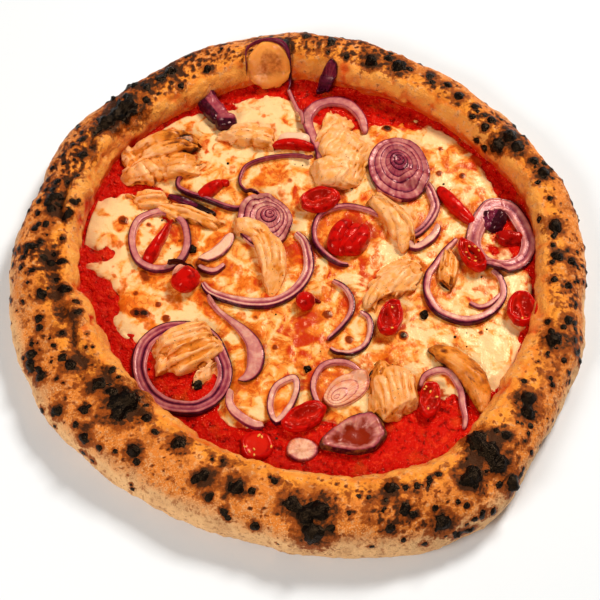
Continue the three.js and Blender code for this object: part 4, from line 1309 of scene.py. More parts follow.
@dataclass(frozen=True)
class Round:
    """A round piece, turned from its own X by degrees: an oval that narrows towards its own +X by a share."""

    profile: Profile
    x: float
    y: float
    long: float
    wide: float
    height: float
    turned: float
    narrowed: float = 0.0
    heart: Point = (0.0, 0.0)  # how far its heart lies off its middle
    drapes: bool = False  # over the onions before it
    hugs: bool = False  # against the rim
    rings: int = 0
    tones: tuple[float, float] = (0.3, 0.9)  # of its flesh and of its skins
    amber: float = 0.0
    burn: float = 0.0
    stew: float = 0.0  # how far sauce covers its hollow
    filled: float = 0.1  # how far pulp fills its chambers, as a share of its height
    seeds: int = 0
    rows: int = 48
    columns: int = 120

    def shell(self, pile: Pile, seed: int) -> Shell:
        """The profile turned about the heart and scaled to the oval, with grooves between onion rings."""
        share, up = self.profile.drawn(self.rows)
        turn, share = round_grid(self.columns, share)
        up = np.broadcast_to(up[:, None], share.shape)
        row = np.broadcast_to(np.linspace(0, 1, self.rows)[:, None], share.shape)
        own = points_at(share * np.cos(turn), share * np.sin(turn), row)
        uneven, octaves = (0.05, 1) if self.rings else (0.12, 3)
        wobble = 1 + uneven * noise(own * [1, 1, 0] * 10, 7, seed, octaves)
        u = share * wobble * self.long * np.cos(turn) / 2
        v = share * wobble * self.wide * np.sin(turn) / 2 * (1 - self.narrowed * (0.5 + 0.5 * np.cos(turn)))
        if self.hugs:
            v = self.down_slope(pile.bed, v)
        off = 1 - share
        x, y = spun(u, v, self.turned, self.x + off * self.heart[0], self.y + off * self.heart[1])
        flat = points_at(x, y)
        top = row < TOP_ROWS
        ring = share**0.7 * max(self.rings, 1) + 0.14 * noise(flat, 13, seed + 1)
        within = ring - np.floor(ring)
        groove = np.where(top & (share < 0.97), np.cos(np.pi * ring) ** 12, 0) * bool(self.rings)
        lift = up * self.height * (1 + 0.12 * noise(flat, 5, seed + 2, 2)) - 0.25 * groove
        chamber = smooth(0.78, 0.6, share) * top * (self.profile is Profile.HOLLOW_HALF)
        slant = np.radians(seed * 37 % 70 - 35)
        beside = own[..., 1] * np.cos(slant) + own[..., 0] * np.sin(slant)
        wall = np.exp(-(((beside + 0.16 * np.cos(2.3 * own[..., 0] + seed)) / 0.16) ** 2))
        pulp = self.filled + 0.22 * noise(flat, 2.8, seed + 6, 2)
        lift += chamber * self.height * (0.2 * np.minimum(wall, 1) + pulp)
        grid = self.seated(pile, x, y, up, lift)
        flesh, skin = self.tones
        rays = points_at(14 * np.cos(turn), 14 * np.sin(turn), share)
        if self.rings:
            line = smooth(0.8, 0.93, within) + 0.3 * smooth(0.3, 0.85, within)
        else:
            line = smooth(0.9, 0.98, share)
        line = np.where(top, np.minimum(line, 1), 1)
        tone = flesh + (skin - flesh) * line
        tone = tone + 0.14 * noise(flat, 5, seed + 3, 2) + 0.14 * noise(rays, 1.2, seed + 5)
        if self.rings > 5:
            tone = tone + 0.22 * smooth(0.5, 0.2, share)
        if self.stew:
            tone = tone + 0.35 * smooth(0.75, 0.95, share)
        hollow = smooth(0.9, 0.55, share) * top
        whole = self.profile is Profile.WHOLE_BALL
        marks = {
            "tone": tone,
            "amber": self.amber * (1 + 0.5 * noise(flat, 6, seed + 9, 2)),
            "stew": self.stew * smooth(0.95, 0.2, share + 0.3 * noise(flat, 4, seed + 8, 2)) * top,
            "burn": self.burn * smooth(0.6, 0.1, share + 0.4 * noise(flat, 5, seed + 4, 2)) * top,
            "flesh": np.zeros_like(x) if whole else hollow,
            # Painted shade: the sunken chambers between the walls.
            "deep": chamber * np.clip(1 - wall, 0, 1),
        }
        made = woven(grid, marks)
        return together([made, *self.seed_shells(grid, seed)]) if self.seeds else made

    def seated(self, pile: Pile, x: Array, y: Array, up: Array, lift: Array) -> Array:
        """Its points, lifted off the rim's slope, the pile, or the bed with its lows bridged."""
        bed = pile.bed
        if self.hugs:
            return bed.off(x, y, lift - 0.7)
        if self.drapes:
            return points_at(x, y, bed.height(x, y) + pile.carried(x, y) + lift - SINK)
        seat = bed.height(self.x, self.y)
        low = np.minimum(bed.height(x, y), seat + bed.climb)
        return points_at(x, y, low + np.maximum(0, seat - low) * up + lift - SINK)

    def down_slope(self, bed: Bed, v: Array) -> Array:
        """Moves places across the piece so that equal steps of v are equal lengths along the bed's slope."""
        half = self.wide / 2
        across = np.linspace(-half, half, 60)
        level = bed.bridged(*spun(0, across, self.turned, self.x, self.y))
        length = np.concatenate([[0], np.cumsum(np.hypot(np.diff(across), np.diff(level)))])
        return np.interp(v, (length / length[-1] * 2 - 1) * half, across)

    def seed_shells(self, grid: Array, seed: int) -> list[Shell]:
        """Flat ovals a millimetre across, lying in the hollow."""
        draw = np.random.default_rng(seed)
        oval = ball(8, 6) * [1.0, 0.65, 0.45]
        blank = np.zeros(oval.shape[:2])
        made = []
        for _ in range(self.seeds):
            row = draw.integers(int(0.12 * self.rows), int(0.36 * self.rows))
            middle = grid[row, draw.integers(self.columns)]
            x, y = spun(oval[..., 0], oval[..., 1], np.degrees(draw.uniform(0, np.pi)))
            lying = points_at(x, y, oval[..., 2]) + middle + [0, 0, 0.15]
            made.append(woven(lying, {"seed": blank + 1, "flesh": blank}))
        return made


@dataclass(frozen=True)
class Chunk:
    """A torn chunk, flat below: long along its own X, bowed to one side, narrower at its own +X end."""

    x: float
    y: float
    long: float
    wide: float
    height: float
    turned: float
    bow: float = 0.0
    narrowed: float = 0.2
    ridges: float = 2.0
    hugs: bool = False
    waist: float = 0.16  # share of its height at which it is widest
    pith: float = 0.0  # how much of it is bare pale flesh
    crinkled: float = 0.5  # millimetres that it is wrinkled by
    fibres: float = 0.0  # degrees from its own X that its fibres run at, if it is chicken
    thick: float = 4.6  # and how wide a bundle of them is
    columns: int = 84
    rows: int = 44

    def grid(self, bed: Bed) -> tuple[Array, Array, Array]:
        """A ball's places, blunted, scaled, narrowed, bowed and turned, and the unit ball's x and y."""
        seat = bed.height(self.x, self.y)
        a, b, c = np.moveaxis(ball(self.columns, self.rows), -1, 0)
        u = self.long / 2 * blunt(a, CHUNK_POWER)
        v = self.wide / 2 * blunt(b, CHUNK_POWER) * (1 - self.narrowed * (0.5 + 0.5 * a))
        v += self.bow * (0.5 - a * a)
        ridged = 1 + 0.1 * np.sin(3 * self.ridges * b + self.long)
        above = self.waist + (1 - self.waist) * blunt(c, CHUNK_POWER) * ridged
        up = np.where(c > 0, above, self.waist * (1 + c))
        x, y = spun(u, v, self.turned, self.x, self.y)
        if self.hugs:
            return bed.off(x, y, up * self.height - 0.6), a, b
        low = np.minimum(bed.height(x, y), seat + bed.climb)
        z = low + np.maximum(0, seat - low) * np.maximum(0, c) + up * self.height - SINK
        return points_at(x, y, z), a, b

    def shell(self, bed: Bed, marks: dict[str, float] | None = None) -> Shell:
        """The chunk alone, with marks that are the same all over."""
        grid, _, _ = self.grid(bed)
        marks = {"pith": self.pith} | (marks or {})
        marks = {name: np.full(grid.shape[:2], value) for name, value in marks.items()}
        return woven(self.wrinkled(grid), marks)

    def wrinkled(self, grid: Array) -> Array:
        """The grid moved along its normals by noise."""
        normals = grid_normals(grid)
        normals *= np.sign(normals[self.rows // 4, :, 2].mean())
        return grid + normals * (self.crinkled * noise(grid, 5, int(self.x) % 97, 3))[..., None]

    def bundles(self, draw: np.random.Generator) -> list["Chunk"]:
        """Bundles of fibres side by side, each along a chord of the chunk's oval, with ragged ends.

        With the oval as (x / p)^2 + (y / q)^2 = 1 and a place as s along the fibres and d across them, the
        oval is A s^2 + 2 B s d + C d^2 = 1. So the chord at d has its middle at -B d / A, half its length is
        sqrt((B d)^2 - A (C d^2 - 1)) / A, and the furthest d is sqrt(A / (A C - B^2)).
        """
        p, q = self.long / 2, self.wide / 2
        cos, sin = np.cos(np.radians(self.fibres)), np.sin(np.radians(self.fibres))
        a, b = (cos / p) ** 2 + (sin / q) ** 2, cos * sin * (1 / q**2 - 1 / p**2)
        c = (sin / p) ** 2 + (cos / q) ** 2
        far = np.sqrt(a / (a * c - b * b))
        count = max(1, round(2 * far / self.thick))
        made = []
        for i in range(count):
            d = far * ((2 * i + 1) / count - 1) * 0.9
            half = np.sqrt(max((b * d) ** 2 - a * (c * d * d - 1), 0.01 * a)) / a * draw.uniform(0.8, 1.06)
            s = -b * d / a + 0.1 * half * draw.uniform(-1, 1)
            u, v = spun(s, d, self.fibres)
            bow = self.bow * (half / p) ** 2
            v += self.bow * (0.5 - (u / p) ** 2) - bow / 2
            v *= 1 - self.narrowed * (0.5 + 0.5 * u / p)
            slope = -2 * self.bow * u / p**2 - self.narrowed * 0.5 * d / p
            way = self.turned + self.fibres + np.degrees(np.arctan(slope)) + draw.normal(0, 4)
            x, y = spun(u, v, self.turned, self.x, self.y)
            height = self.height * (1 - 0.2 * (d / far) ** 2) * draw.uniform(0.9, 1.04)
            wide, end = min(2 * far / count * draw.uniform(1.3, 1.6), 2 * far), draw.uniform(0.0, 0.5)
            made.append(Chunk(x, y, 2 * half, wide, height, way, bow, end, 0, self.hugs, columns=32, rows=20))
        return made


@dataclass(frozen=True)
class Chicken:
    """A piece of torn chicken: chunks grown together, with fibres along the first one."""

    chunks: tuple[Chunk, ...]
    roast: float = 0.15
    browned: tuple[tuple[float, float, float, float], ...] = ()  # x, y, reach and strength of each place
    cell: float = 0.56
    ragged: float = 1.0  # how torn its surface is
    cuts: int = 4  # flat tears across its bulk
    shreds: int = 4  # on each of its first chunks
    core: float = 0.85  # how far its smooth core fills it

    def torn(self, points: Array, seed: int) -> Array:
        """Points past each of some seeded planes are drawn back towards it, which leaves flat faces.

        A plane's normal points up and aside, and 82 to 95% of the points lie behind it.
        """
        draw = np.random.default_rng(seed)
        for _ in range(self.cuts):
            way, rise = draw.uniform(0, FULL_TURN), draw.uniform(0.1, 1.2)
            normal = np.array([np.cos(way) * np.cos(rise), np.sin(way) * np.cos(rise), np.sin(rise)])
            depth = points @ normal
            past = np.maximum(0, depth - np.quantile(depth, draw.uniform(0.82, 0.95)))
            points = points - 0.8 * past[:, None] * normal
        return points

    def parts(self, seed: int) -> list[Chunk]:
        """A core for each chunk, its bundles of fibres, and shreds that hang on the first chunks' edges."""
        draw = np.random.default_rng(seed)
        made = []
        for i, chunk in enumerate(self.chunks):
            long, wide, height = self.core * np.array([chunk.long, chunk.wide * 0.95, chunk.height * 0.88])
            made += [replace(chunk, long=long, wide=wide, height=height, ridges=0), *chunk.bundles(draw)]
            for _ in range(self.shreds if i < 3 else 0):
                way = draw.uniform(0, FULL_TURN)
                along, aside = 0.45 * chunk.long * np.cos(way), 0.45 * chunk.wide * np.sin(way)
                x, y = spun(along, aside, chunk.turned, chunk.x, chunk.y)
                long, wide = draw.uniform(7, 12), draw.uniform(2.2, 3.6)
                height = chunk.height * draw.uniform(0.4, 0.8)
                way = chunk.turned + chunk.fibres + draw.normal(0, 30)
                made.append(Chunk(x, y, long, wide, height, way, narrowed=0.5, columns=32, rows=20))
        return made

    def shell(self, bed: Bed, seed: int) -> Shell:
        """The fused skin, torn along its grain.

        Sheets are steps in noise stretched along the grain, with a cleft at the foot of each. Strands are
        finer noise stretched the same way, and lumps plain noise. Each moves the skin along its normals. A
        crease is where the skin lies inside itself smoothed. Creases are painted browner, partly for juices
        and partly as painted shade, and steep sides are too, partly for browned edges and partly as shade.

        Args:
            bed: what it lies on.
            seed: which patterns it gets.

        Returns:
            The surface, with its grain's coordinates and how roasted it is, with painted shade in its creases
            and on its steep sides.
        """
        whole = relaxed(fused([chunk.shell(bed) for chunk in self.parts(seed)], self.cell), 1)
        whole.points = self.torn(whole.points, seed)
        main = self.chunks[0]
        x, y, z = (whole.points - [main.x, main.y, 0]).T
        own = points_at(*spun(x, y, -(main.turned + main.fibres)), z)
        own[:, 1] -= main.bow * (0.5 - (2 * own[:, 0] / main.long) ** 2)
        own += 1.2 * np.stack([noise(whole.points, 9, seed + i) for i in range(3)], -1)
        sheets = 2.2 * noise(own, (22, 10, 9), seed + 5, 2)
        within = sheets - np.floor(sheets)
        ledges = np.floor(sheets) + smooth(0.7, 1.0, within)
        strands = noise(own, (14, 1.8, 2.0), seed + 6, 2)
        lumps = noise(whole.points, 7, seed + 7, 2)
        normals = point_normals(whole)
        upper = smooth(-0.3, 0.4, normals[:, 2])
        push = (self.ragged * (0.7 * ledges + 0.35 * strands) + 0.9 * lumps) * (0.35 + 0.65 * upper)
        whole.points = whole.points + normals * push[:, None]
        soft = relaxed(replace(whole), 10)
        crease = ((soft.points - whole.points) * normals).sum(-1)
        # Painted shade: creases and steep sides are browned, partly as shade and partly for juices and
        # browned edges.
        roast = self.roast + 0.4 * smooth(0.0, 0.6, lumps) - 0.1 + np.clip(2.0 * crease, -0.12, 0.4)
        roast = roast + 0.5 * smooth(0.65, 0.0, normals[:, 2])
        for px, py, reach, strength in self.browned:
            near = np.hypot(whole.points[:, 0] - px, whole.points[:, 1] - py) / reach
            roast = roast + strength * smooth(1.2, 0.2, near + 0.4 * lumps)
        whole.marks = {"roast": roast, "grain": own / np.array([9.0, 1.0, 1.0])}
        return whole


ONION_BANDS: dict[str, Band] = {
    "onion_ring_back": Band(
        ((37, 101), (35, 113), (28, 123), (19, 126), (9, 123), (3, 115), (3, 107), (6, 97), (9, 88), (9, 81)),
        5.0, tones=(0.3, 0.34, 0.72),
    ),
    "onion_curl_right": Band(
        ((62, 67), (71, 64), (75, 55), (76, 47), (72, 38), (66, 31), (60, 28)), 4.6,
        layers=2, tones=(0.3, 0.3, 0.85),
    ),
    "onion_curl_right_low": Band(
        ((78, 36), (75, 29), (70, 24), (64, 21), (59, 23)), 3.6, 3.6, tones=(0.1, 0.15, 0.8)
    ),
    "onion_hoop_left": Band(
        ((-66, 73), (-72, 69), (-73, 63), (-66, 58), (-53, 52), (-40, 47), (-32, 50), (-29, 56)), 2.4,
        tones=(0.5, 0.5, 0.95), dark=0.5,
    ),
    "onion_strip_charred": Band(
        ((-79, 58), (-69, 53), (-60, 48), (-50, 43)), 2.6, 3.6,
        ends=0.3, tones=(0.8, 0.85, 1.0), burnt_at=(0.8, 0.3),
    ),
    "onion_hoop_middle": Band(
        ((6, 81), (-2, 84), (-14, 84), (-26, 81), (-34, 76), (-37, 68), (-36, 62), (-30, 57), (-21, 54)), 1.6,
        tones=(0.5, 0.6, 0.95), dark=0.5,
    ),
    "onion_ring_centre": Band(
        ((44, 42), (37, 46), (26, 49), (16, 47), (9, 42), (6, 33), (7, 24), (12, 16), (20, 10), (26, 9)), 2.6,
        tones=(0.3, 0.4, 0.9), dark=0.4,
    ),
    "onion_ring_left": Band(
        ((-66, 26), (-70, 40), (-82, 46), (-94, 40), (-98, 26), (-93, 11), (-80, 6), (-69, 13)), 3.6,
        closed=True, tones=(0.25, 0.3, 0.85),
    ),
    "onion_ring_large": Band(
        (
            (-57, -2), (-53, -8), (-43, -13), (-29, -16), (-16, -15), (-5, -8), (2, 3), (3, 14), (0, 25),
            (-5, 31),
        ), 4.8, layers=2, tones=(0.15, 0.22, 0.9), dark=0.42,
    ),
    "onion_curl_pale": Band(((-60, 9), (-56, 6), (-50, 5), (-44, 10)), 3, 3.4, tones=(0.2, 0.25, 0.8)),
    "onion_ring_thick_left": Band(
        (
            (-44, -52), (-43, -62), (-47, -72), (-58, -80), (-73, -78), (-85, -69), (-90, -56), (-88, -42),
            (-78, -33), (-62, -32), (-50, -39),
        ), 6.4, closed=True, layers=3, tones=(0.3, 0.42, 0.95), dark=0.35,
    ),
    "onion_hook": Band(
        (
            (-54, -12), (-48, -20), (-40, -27), (-33, -34), (-28, -41), (-26, -49), (-27, -57), (-31, -62),
            (-36, -63),
        ), 7.4, ends=0.2, tones=(0.3, 0.27, 0.9), dark=0.15, widest=0.72, amber=0.15,
    ),
    "onion_ring_under_hook": Band(
        ((-39, -70), (-40, -77), (-37, -83), (-31, -88), (-26, -90), (-21, -90)), 3.8,
        tones=(0.15, 0.2, 0.7), dark=0.15,
    ),
    "onion_ring_pointed": Band(
        ((-5, -63), (-4, -72), (-9, -82), (-15, -88), (-18, -81), (-17, -72), (-13, -66)), 3, closed=True,
        tones=(0.1, 0.2, 0.9),
    ),
    "onion_ring_front": Band(
        ((32, -60), (25, -54), (17, -53), (10, -56), (6, -63), (5, -70), (7, -77), (11, -83)), 2.8,
        tones=(0.25, 0.3, 0.9),
    ),
    "onion_arch_front_right": Band(
        ((63, -68), (66, -61), (74, -58), (80, -60), (85, -69), (86, -78), (87, -86), (86, -92)), 3,
        tones=(0.25, 0.3, 0.8),
    ),
    "onion_curl_centre": Band(
        ((16, -1), (23, -6), (27, -14), (26, -23), (20, -32), (13, -39)), 2.8,
        tones=(0.15, 0.3, 0.95), dark=0.5,
    ),
    "onion_curl_centre_low": Band(
        ((14, -44), (19, -47), (27, -47), (34, -42), (37, -33), (36, -25), (31, -21)), 2.8,
        tones=(0.1, 0.2, 0.95), dark=0.4,
    ),
}  # fmt: skip

RING_LOWER_RIGHT = (
    Band(
        (
            (88, 27), (80, 18), (74, 9), (70, 2), (69, -9), (73, -19), (79, -24), (88, -27), (97, -26),
            (105, -21), (111, -13), (112, -5), (110, 2), (106, 6),
        ), 3.8, tones=(0.15, 0.22, 0.92), dark=0.36,
    ),
    Band(((92, -15), (98, -18), (104, -16), (111, -9)), 2.2, 3, tones=(0.2, 0.3, 0.8)),
)  # fmt: skip
RING_THICK_RIGHT = Band(
    ((129, 26), (125, 40), (119, 49), (108, 49), (101, 38), (97, 24), (102, 12), (114, 8), (125, 14)), 7,
    closed=True, layers=2, tones=(0.25, 0.36, 0.95), dark=0.2,
)  # fmt: skip
HEART_DARK = Chunk(110, 40, 16, 12, 5, 60, narrowed=0, crinkled=3.0)
SLICE_ON_CRUST = Round(
    Profile.THIN_SLICE, -21, 144.5, 27, 16.5, 2.8, 8,
    heart=(1, 4), hugs=True, tones=(0.1, 0.6), amber=0.8, stew=0.5, burn=0.25,
)  # fmt: skip
STRANDS_ON_CRUST = (
    Band(
        ((-34, 138), (-34, 146), (-29, 151), (-21, 153), (-13, 151), (-9, 146), (-8, 139), (-9, 133)), 1.8,
        3.4, ends=0.3, tones=(0.75, 0.8, 1), rise=2.0, widest=0.7,
    ),
    Band(
        ((-9, 135), (-7, 129), (-4, 120), (-1, 112), (0, 105)), 2.2, 3.4,
        ends=0.7, tones=(0.2, 0.4, 0.9), rise=0.5,
    ),
)  # fmt: skip
PETAL_DARK = (
    Chunk(-54, 119, 30, 14, 8, -58, narrowed=0.1, ridges=1, crinkled=1.6),
    Chunk(-46, 108, 13, 12, 8.5, 0, narrowed=0),
)
PETAL_BACK = Round(
    Profile.THIN_SLICE, 14, 137, 15, 10.5, 3.0, 215, narrowed=0.6, hugs=True, tones=(0.75, 0.95)
)
PETAL_PINK = Band(
    ((-60, 12), (-51, 16), (-45, 22), (-41, 31)), 6.4, 3.8,
    ends=0.2, tones=(0.1, 0.06, 0.9), dark=0.22, amber=0.25,
)  # fmt: skip

ONION_ROUNDS: dict[str, Round] = {
    "onion_slice_right": Round(
        Profile.ONION_SLICE, 56, 74, 44, 36, 4.5, 105,
        heart=(0, 7), drapes=True, rings=7, tones=(0.36, 0.84), rows=130, columns=170,
    ),
    "onion_slice_spiral": Round(
        Profile.ONION_SLICE, -22, 37, 34, 33, 4.5, 90,
        heart=(3, 6), drapes=True, rings=7, tones=(0.2, 0.82), rows=130, columns=170,
    ),
    "onion_slice_pink": Round(
        Profile.THIN_SLICE, 23, -70, 28, 17, 3.4, 36,
        heart=(-6, -5), drapes=True, rings=4, tones=(0.1, 0.5), amber=0.35, rows=110, columns=140,
    ),
    "onion_slice_browned": Round(
        Profile.ONION_BASIN, 26, -97, 37, 31, 6, 196,
        narrowed=0.65, drapes=True, tones=(0.32, 0.94), amber=0.2, stew=1.15, burn=0.35, rows=90, columns=150,
    ),
    "onion_slice_pale": Round(
        Profile.THIN_SLICE, -1, -104, 17, 13, 2.6, 172,
        drapes=True, tones=(0.1, 0.3), amber=0.3, stew=0.3, rows=80,
    ),
}  # fmt: skip

CHICKENS: dict[str, Chicken] = {
    "chicken_left_back": Chicken(
        (
            Chunk(-81, 89, 48, 17, 12.5, 18, narrowed=-0.1, thick=7),
            Chunk(-92, 73, 34, 18, 9, 8, fibres=-50, thick=5),
            Chunk(-72, 76, 26, 15, 9, 4, thick=5),
            Chunk(-101, 84, 16, 13, 8, 120),
        ), roast=0.25, browned=((-70, 96, 16, 0.5), (-66, 84, 10, 0.4), (-82, 93, 12, 0.3)),
    ),
    "chicken_back": Chicken(
        (Chunk(-35, 99, 26, 15, 9, 8, thick=5), Chunk(-24, 97, 16, 13, 8, 0)),
        roast=0.0, browned=((-18, 100, 7, 0.5),),
    ),
    "chicken_large": Chicken(
        (
            Chunk(21, 110, 22, 15, 9, 10, fibres=50, thick=5),
            Chunk(18, 98, 24, 22, 9, 60, thick=8),
            Chunk(26, 87, 34, 24, 11, -35, narrowed=0, thick=12),
            Chunk(20, 71, 38, 20, 11, 12, narrowed=-0.2, thick=10),
        ), roast=0.0, browned=((36, 74, 8, 0.5), (28, 112, 6, 0.4)),
    ),
    "chicken_slice_right": Chicken(
        (Chunk(49, 40, 50, 17, 9, -59, bow=9, narrowed=0.15, thick=4.6),), roast=0.1, ragged=0.9, shreds=1,
        core=0.95, browned=((62, 20, 7, 0.6), (56, 44, 5, 0.3)),
    ),
    "chicken_slice_middle": Chicken(
        (
            Chunk(-20.5, 10, 50, 17, 9.5, -83, bow=6, thick=4.6),
            Chunk(-31, 32, 26, 13, 8.5, 170, narrowed=0.6, thick=4.6),
        ), roast=0.08, ragged=0.9, shreds=1, core=0.95, browned=((-20, -12, 8, 0.5), (-14, 2, 6, 0.3)),
    ),
    "chicken_centre_right": Chicken(
        (Chunk(53, 1, 34, 22, 10, 46, narrowed=0.1), Chunk(42, -8, 32, 11, 7, 54, thick=3.6)), roast=0.03,
        browned=((62, 8, 8, 0.4), (44, -16, 9, 0.4)),
    ),
    "chicken_in_ring": Chicken(
        (Chunk(82, 7, 34, 13, 8, 79, thick=4),), roast=0.25, browned=((80, -6, 8, 0.5),)
    ),
    "chicken_over_ring": Chicken(
        (
            Chunk(-64, -40, 44, 17, 12, 20),
            Chunk(-59, -49, 42, 15, 10, 22),
            Chunk(-50, -60, 22, 10, 8, 30, fibres=40, thick=3.6),
            Chunk(-79, -54, 14, 10, 7, 20),
        ), roast=0.04, browned=((-46, -38, 9, 0.5), (-60, -50, 10, 0.3)),
    ),
    "chicken_front": Chicken(
        (
            Chunk(48, -72, 33, 28, 11, 98, narrowed=0, thick=4),
            Chunk(40, -60, 17, 15, 11, 30, thick=5),
            Chunk(36, -79, 14, 11, 8, 0),
        ), roast=0.18, browned=((38, -58, 13, 0.5), (61, -90, 8, 0.4), (60, -72, 4, 0.3)), shreds=2, core=1.0,
    ),
    "chicken_strip_right": Chicken(
        (Chunk(86, -61, 48, 14, 9, -53, bow=7, narrowed=-0.1, thick=15),), roast=0.6,
        browned=((72, -43, 9, 0.5),), ragged=0.2, cuts=1, shreds=0, core=1.0,
    ),
    "chicken_flat_left": Chicken((Chunk(-88, 55, 26, 14, 7, 0, thick=5),), roast=0.15, cuts=2, shreds=6),
    "chicken_shreds": Chicken(
        (Chunk(-62, 42, 36, 10, 6, -28, thick=3.4), Chunk(-76, 46, 20, 8, 6, -20, thick=3.4)),
        roast=0.35, cuts=0,
    ),
}  # fmt: skip

RED_PIECES: dict[str, tuple[Chunk | Round | Band, ...]] = {
    "pepper_with_nub": (Chunk(-54, 60, 18, 9, 7, 40, ridges=0), Chunk(-46, 65, 6, 5, 4, 0)),
    "pepper_spike": (Chunk(-82, 25, 33, 12, 7, 64, narrowed=0.98, ridges=0),),
    "pepper_with_stem": (
        Round(Profile.WHOLE_BALL, -66, -3, 17, 16, 12, 60),
        Chunk(-69.5, 2, 10, 6, 11.6, 40, narrowed=0.3, pith=0.6),
        Band(((-77, 8), (-71, 8.5), (-65, 7), (-61, 3)), 1.8, 4.2, ends=0.8, burn=1.0),
    ),
    "pepper_half_moon": (
        Chunk(-6, 91, 26, 7, 6, 176, bow=-2, ridges=0),
        Chunk(-5, 96.5, 20, 9, 4.6, 176, ridges=0, pith=1.0),
    ),
    "pepper_strip_long": (Chunk(88, 49, 33, 9, 6, -52, bow=-1, ridges=0),),
    "pepper_small_ball": (
        Round(Profile.WHOLE_BALL, 1, -16, 11, 11, 9, 0),
        Band(((2, -16), (5, -13), (10, -15)), 1.6, 1.8, ends=0.8, burn=0.7),
    ),
    "tomato_half_middle": (Round(Profile.HOLLOW_HALF, 10, 51, 25, 16, 8, 18, filled=0.3),),
    "tomato_half_in_ring": (
        Chunk(21, 27.5, 25, 11, 9.5, 66, bow=3, ridges=0),
        Chunk(26, 26, 24, 10, 7.5, 60, ridges=0),
        Chunk(30.5, 25, 23, 12, 10, 56, bow=-3, ridges=0),
    ),
    "tomato_half_seeded": (Round(Profile.HOLLOW_HALF, 95, 14, 25, 14, 8, 119, narrowed=0.3, seeds=7),),
    "tomato_half_right": (Round(Profile.HOLLOW_HALF, 121, -21, 22, 17, 8, 84, seeds=2),),
    "tomato_half_pointed": (
        Round(Profile.HOLLOW_HALF, 48, -27, 23, 15, 8, 74, narrowed=0.2, filled=0.3, seeds=2),
    ),
    "tomato_wedge": (Round(Profile.HOLLOW_HALF, 0, -86, 25, 15, 6, 23),),
    "tomato_slice_front": (Round(Profile.THIN_SLICE, -25, -102, 18, 17, 3.5, 0, seeds=8),),
    "tomato_half_front": (Round(Profile.HOLLOW_HALF, 68, -76, 22, 12, 7, 84, seeds=5),),
    "tomato_burnt": (Chunk(118, 29, 14, 10, 6, 0, ridges=1, crinkled=2.6),),
}  # fmt: skip


@dataclass(frozen=True)
class Petal:
    """A folded onion petal: chunks side by side, with one tone outside and another on the inner face."""

    chunks: tuple[Chunk, ...]
    tones: tuple[float, float]
    burn: float = 0.0

    def shell(self, bed: Bed, seed: int) -> Shell:
        """Each chunk wrinkled by noise. Its inner face shows as a band along it, uneven by noise."""
        outer, inner = self.tones
        made = []
        for chunk in self.chunks:
            grid, a, b = chunk.grid(bed)
            aside = b + 0.5 * noise(points_at(3 * a, 9 * b), 4, seed + 1, 2)
            tone = outer + (inner - outer) * smooth(-0.25, 0.05, aside) * smooth(0.85, 0.7, aside)
            made.append(woven(chunk.wrinkled(grid), {"tone": tone, "burn": np.full(tone.shape, self.burn)}))
        return together(made)


@dataclass(frozen=True)
class BurntBits:
    """Small burnt crumbs on the cheese and the sauce."""

    bed: Bed
    placed: tuple[tuple[float, float, float], ...] = (
        (2, -57, 2.2), (67, -23, 2.4), (-63, 20, 2.6), (-58, -65, 3.0), (125, 47, 1.6), (-56, 16, 1.6),
        (33, 84, 1.0),
    )  # x, y and half width
    strewn: int = 46
    spread: float = 112.0  # how far from the middle the strewn ones reach
    seed: int = 12

    def shell(self) -> Shell:
        """Each crumb is a small ball, pushed in and out by noise and half sunk."""
        draw = np.random.default_rng(self.seed)
        way, out = draw.uniform(0, FULL_TURN, self.strewn), np.sqrt(draw.uniform(0, 1, self.strewn))
        x, y = self.spread * out * np.cos(way), self.spread * out * np.sin(way) * 0.9
        crumbs = np.concatenate([self.placed, points_at(x, y, draw.uniform(0.3, 0.75, self.strewn))])
        crumb = ball(16, 10) * [1, 1, 0.7]
        marks = {"char": np.ones(crumb.shape[:2]), "over": np.full(crumb.shape[:2], 0.5)}
        made = []
        for x, y, half in crumbs:
            seat = np.array([x, y, float(self.bed.height(x, y)) - self.bed.seat_gap + 0.2 * half])
            uneven = 1 + 0.6 * noise(crumb * half + seat, 1.4, 3, 2)
            made.append(woven(seat + crumb * half * uneven[..., None], marks))
        return together(made)


# The studio


@dataclass(frozen=True)
class Lamp:
    """A soft box: where it hangs, in metres, its side and its power."""

    name: str
    place: tuple[float, float, float]
    side: float
    watts: float

    def build(self) -> None:
        """Hangs it, turned towards the pizza."""
        data = bpy.data.lights.new(self.name, "AREA")
        data.energy, data.size = self.watts, self.side
        lamp = object_of(self.name, data)
        lamp.location = self.place
        lamp.rotation_euler = (-Vector(self.place)).to_track_quat("-Z", "Y").to_euler()


@dataclass(frozen=True)
class Studio:
    """A plain pale floor, soft boxes and the camera."""

    camera: Camera
    floor_side: float = 4.0  # in metres, as a grid of so many points a side
    floor_points: int = 9
    ambient: float = 0.17
    lamps: tuple[Lamp, ...] = (
        Lamp("key", (0.68, 0.8, 1.25), 0.4, 25),
        Lamp("fill", (-0.75, -0.8, 0.95), 0.5, 11.5),
    )

    def build(self) -> None:
        """Makes the floor as a grid, the lamps, the even light all round and the camera."""
        places = np.linspace(-self.floor_side / 2, self.floor_side / 2, self.floor_points)
        corner = np.arange(self.floor_points**2).reshape(self.floor_points, -1)
        faces = np.stack([corner[:-1, :-1], corner[:-1, 1:], corner[1:, 1:], corner[1:, :-1]], -1)
        mesh = bpy.data.meshes.new("studio_floor")
        points = points_at(*np.meshgrid(places, places)).reshape(-1, 3)
        mesh.from_pydata(points.tolist(), [], faces.reshape(-1, 4).tolist())
        floor = object_of("studio_floor", mesh)
        mesh.materials.append(FloorFinish().material())
        for lamp in self.lamps:
            lamp.build()
        world = bpy.data.worlds.new("studio")
        world.use_nodes = True
        background = world.node_tree.nodes["Background"]
        background.inputs["Color"].default_value = (1, 1, 1, 1)
        background.inputs["Strength"].default_value = self.ambient
        bpy.context.scene.world = world
        bpy.context.scene.view_settings.view_transform = "Standard"
        self.camera.build()


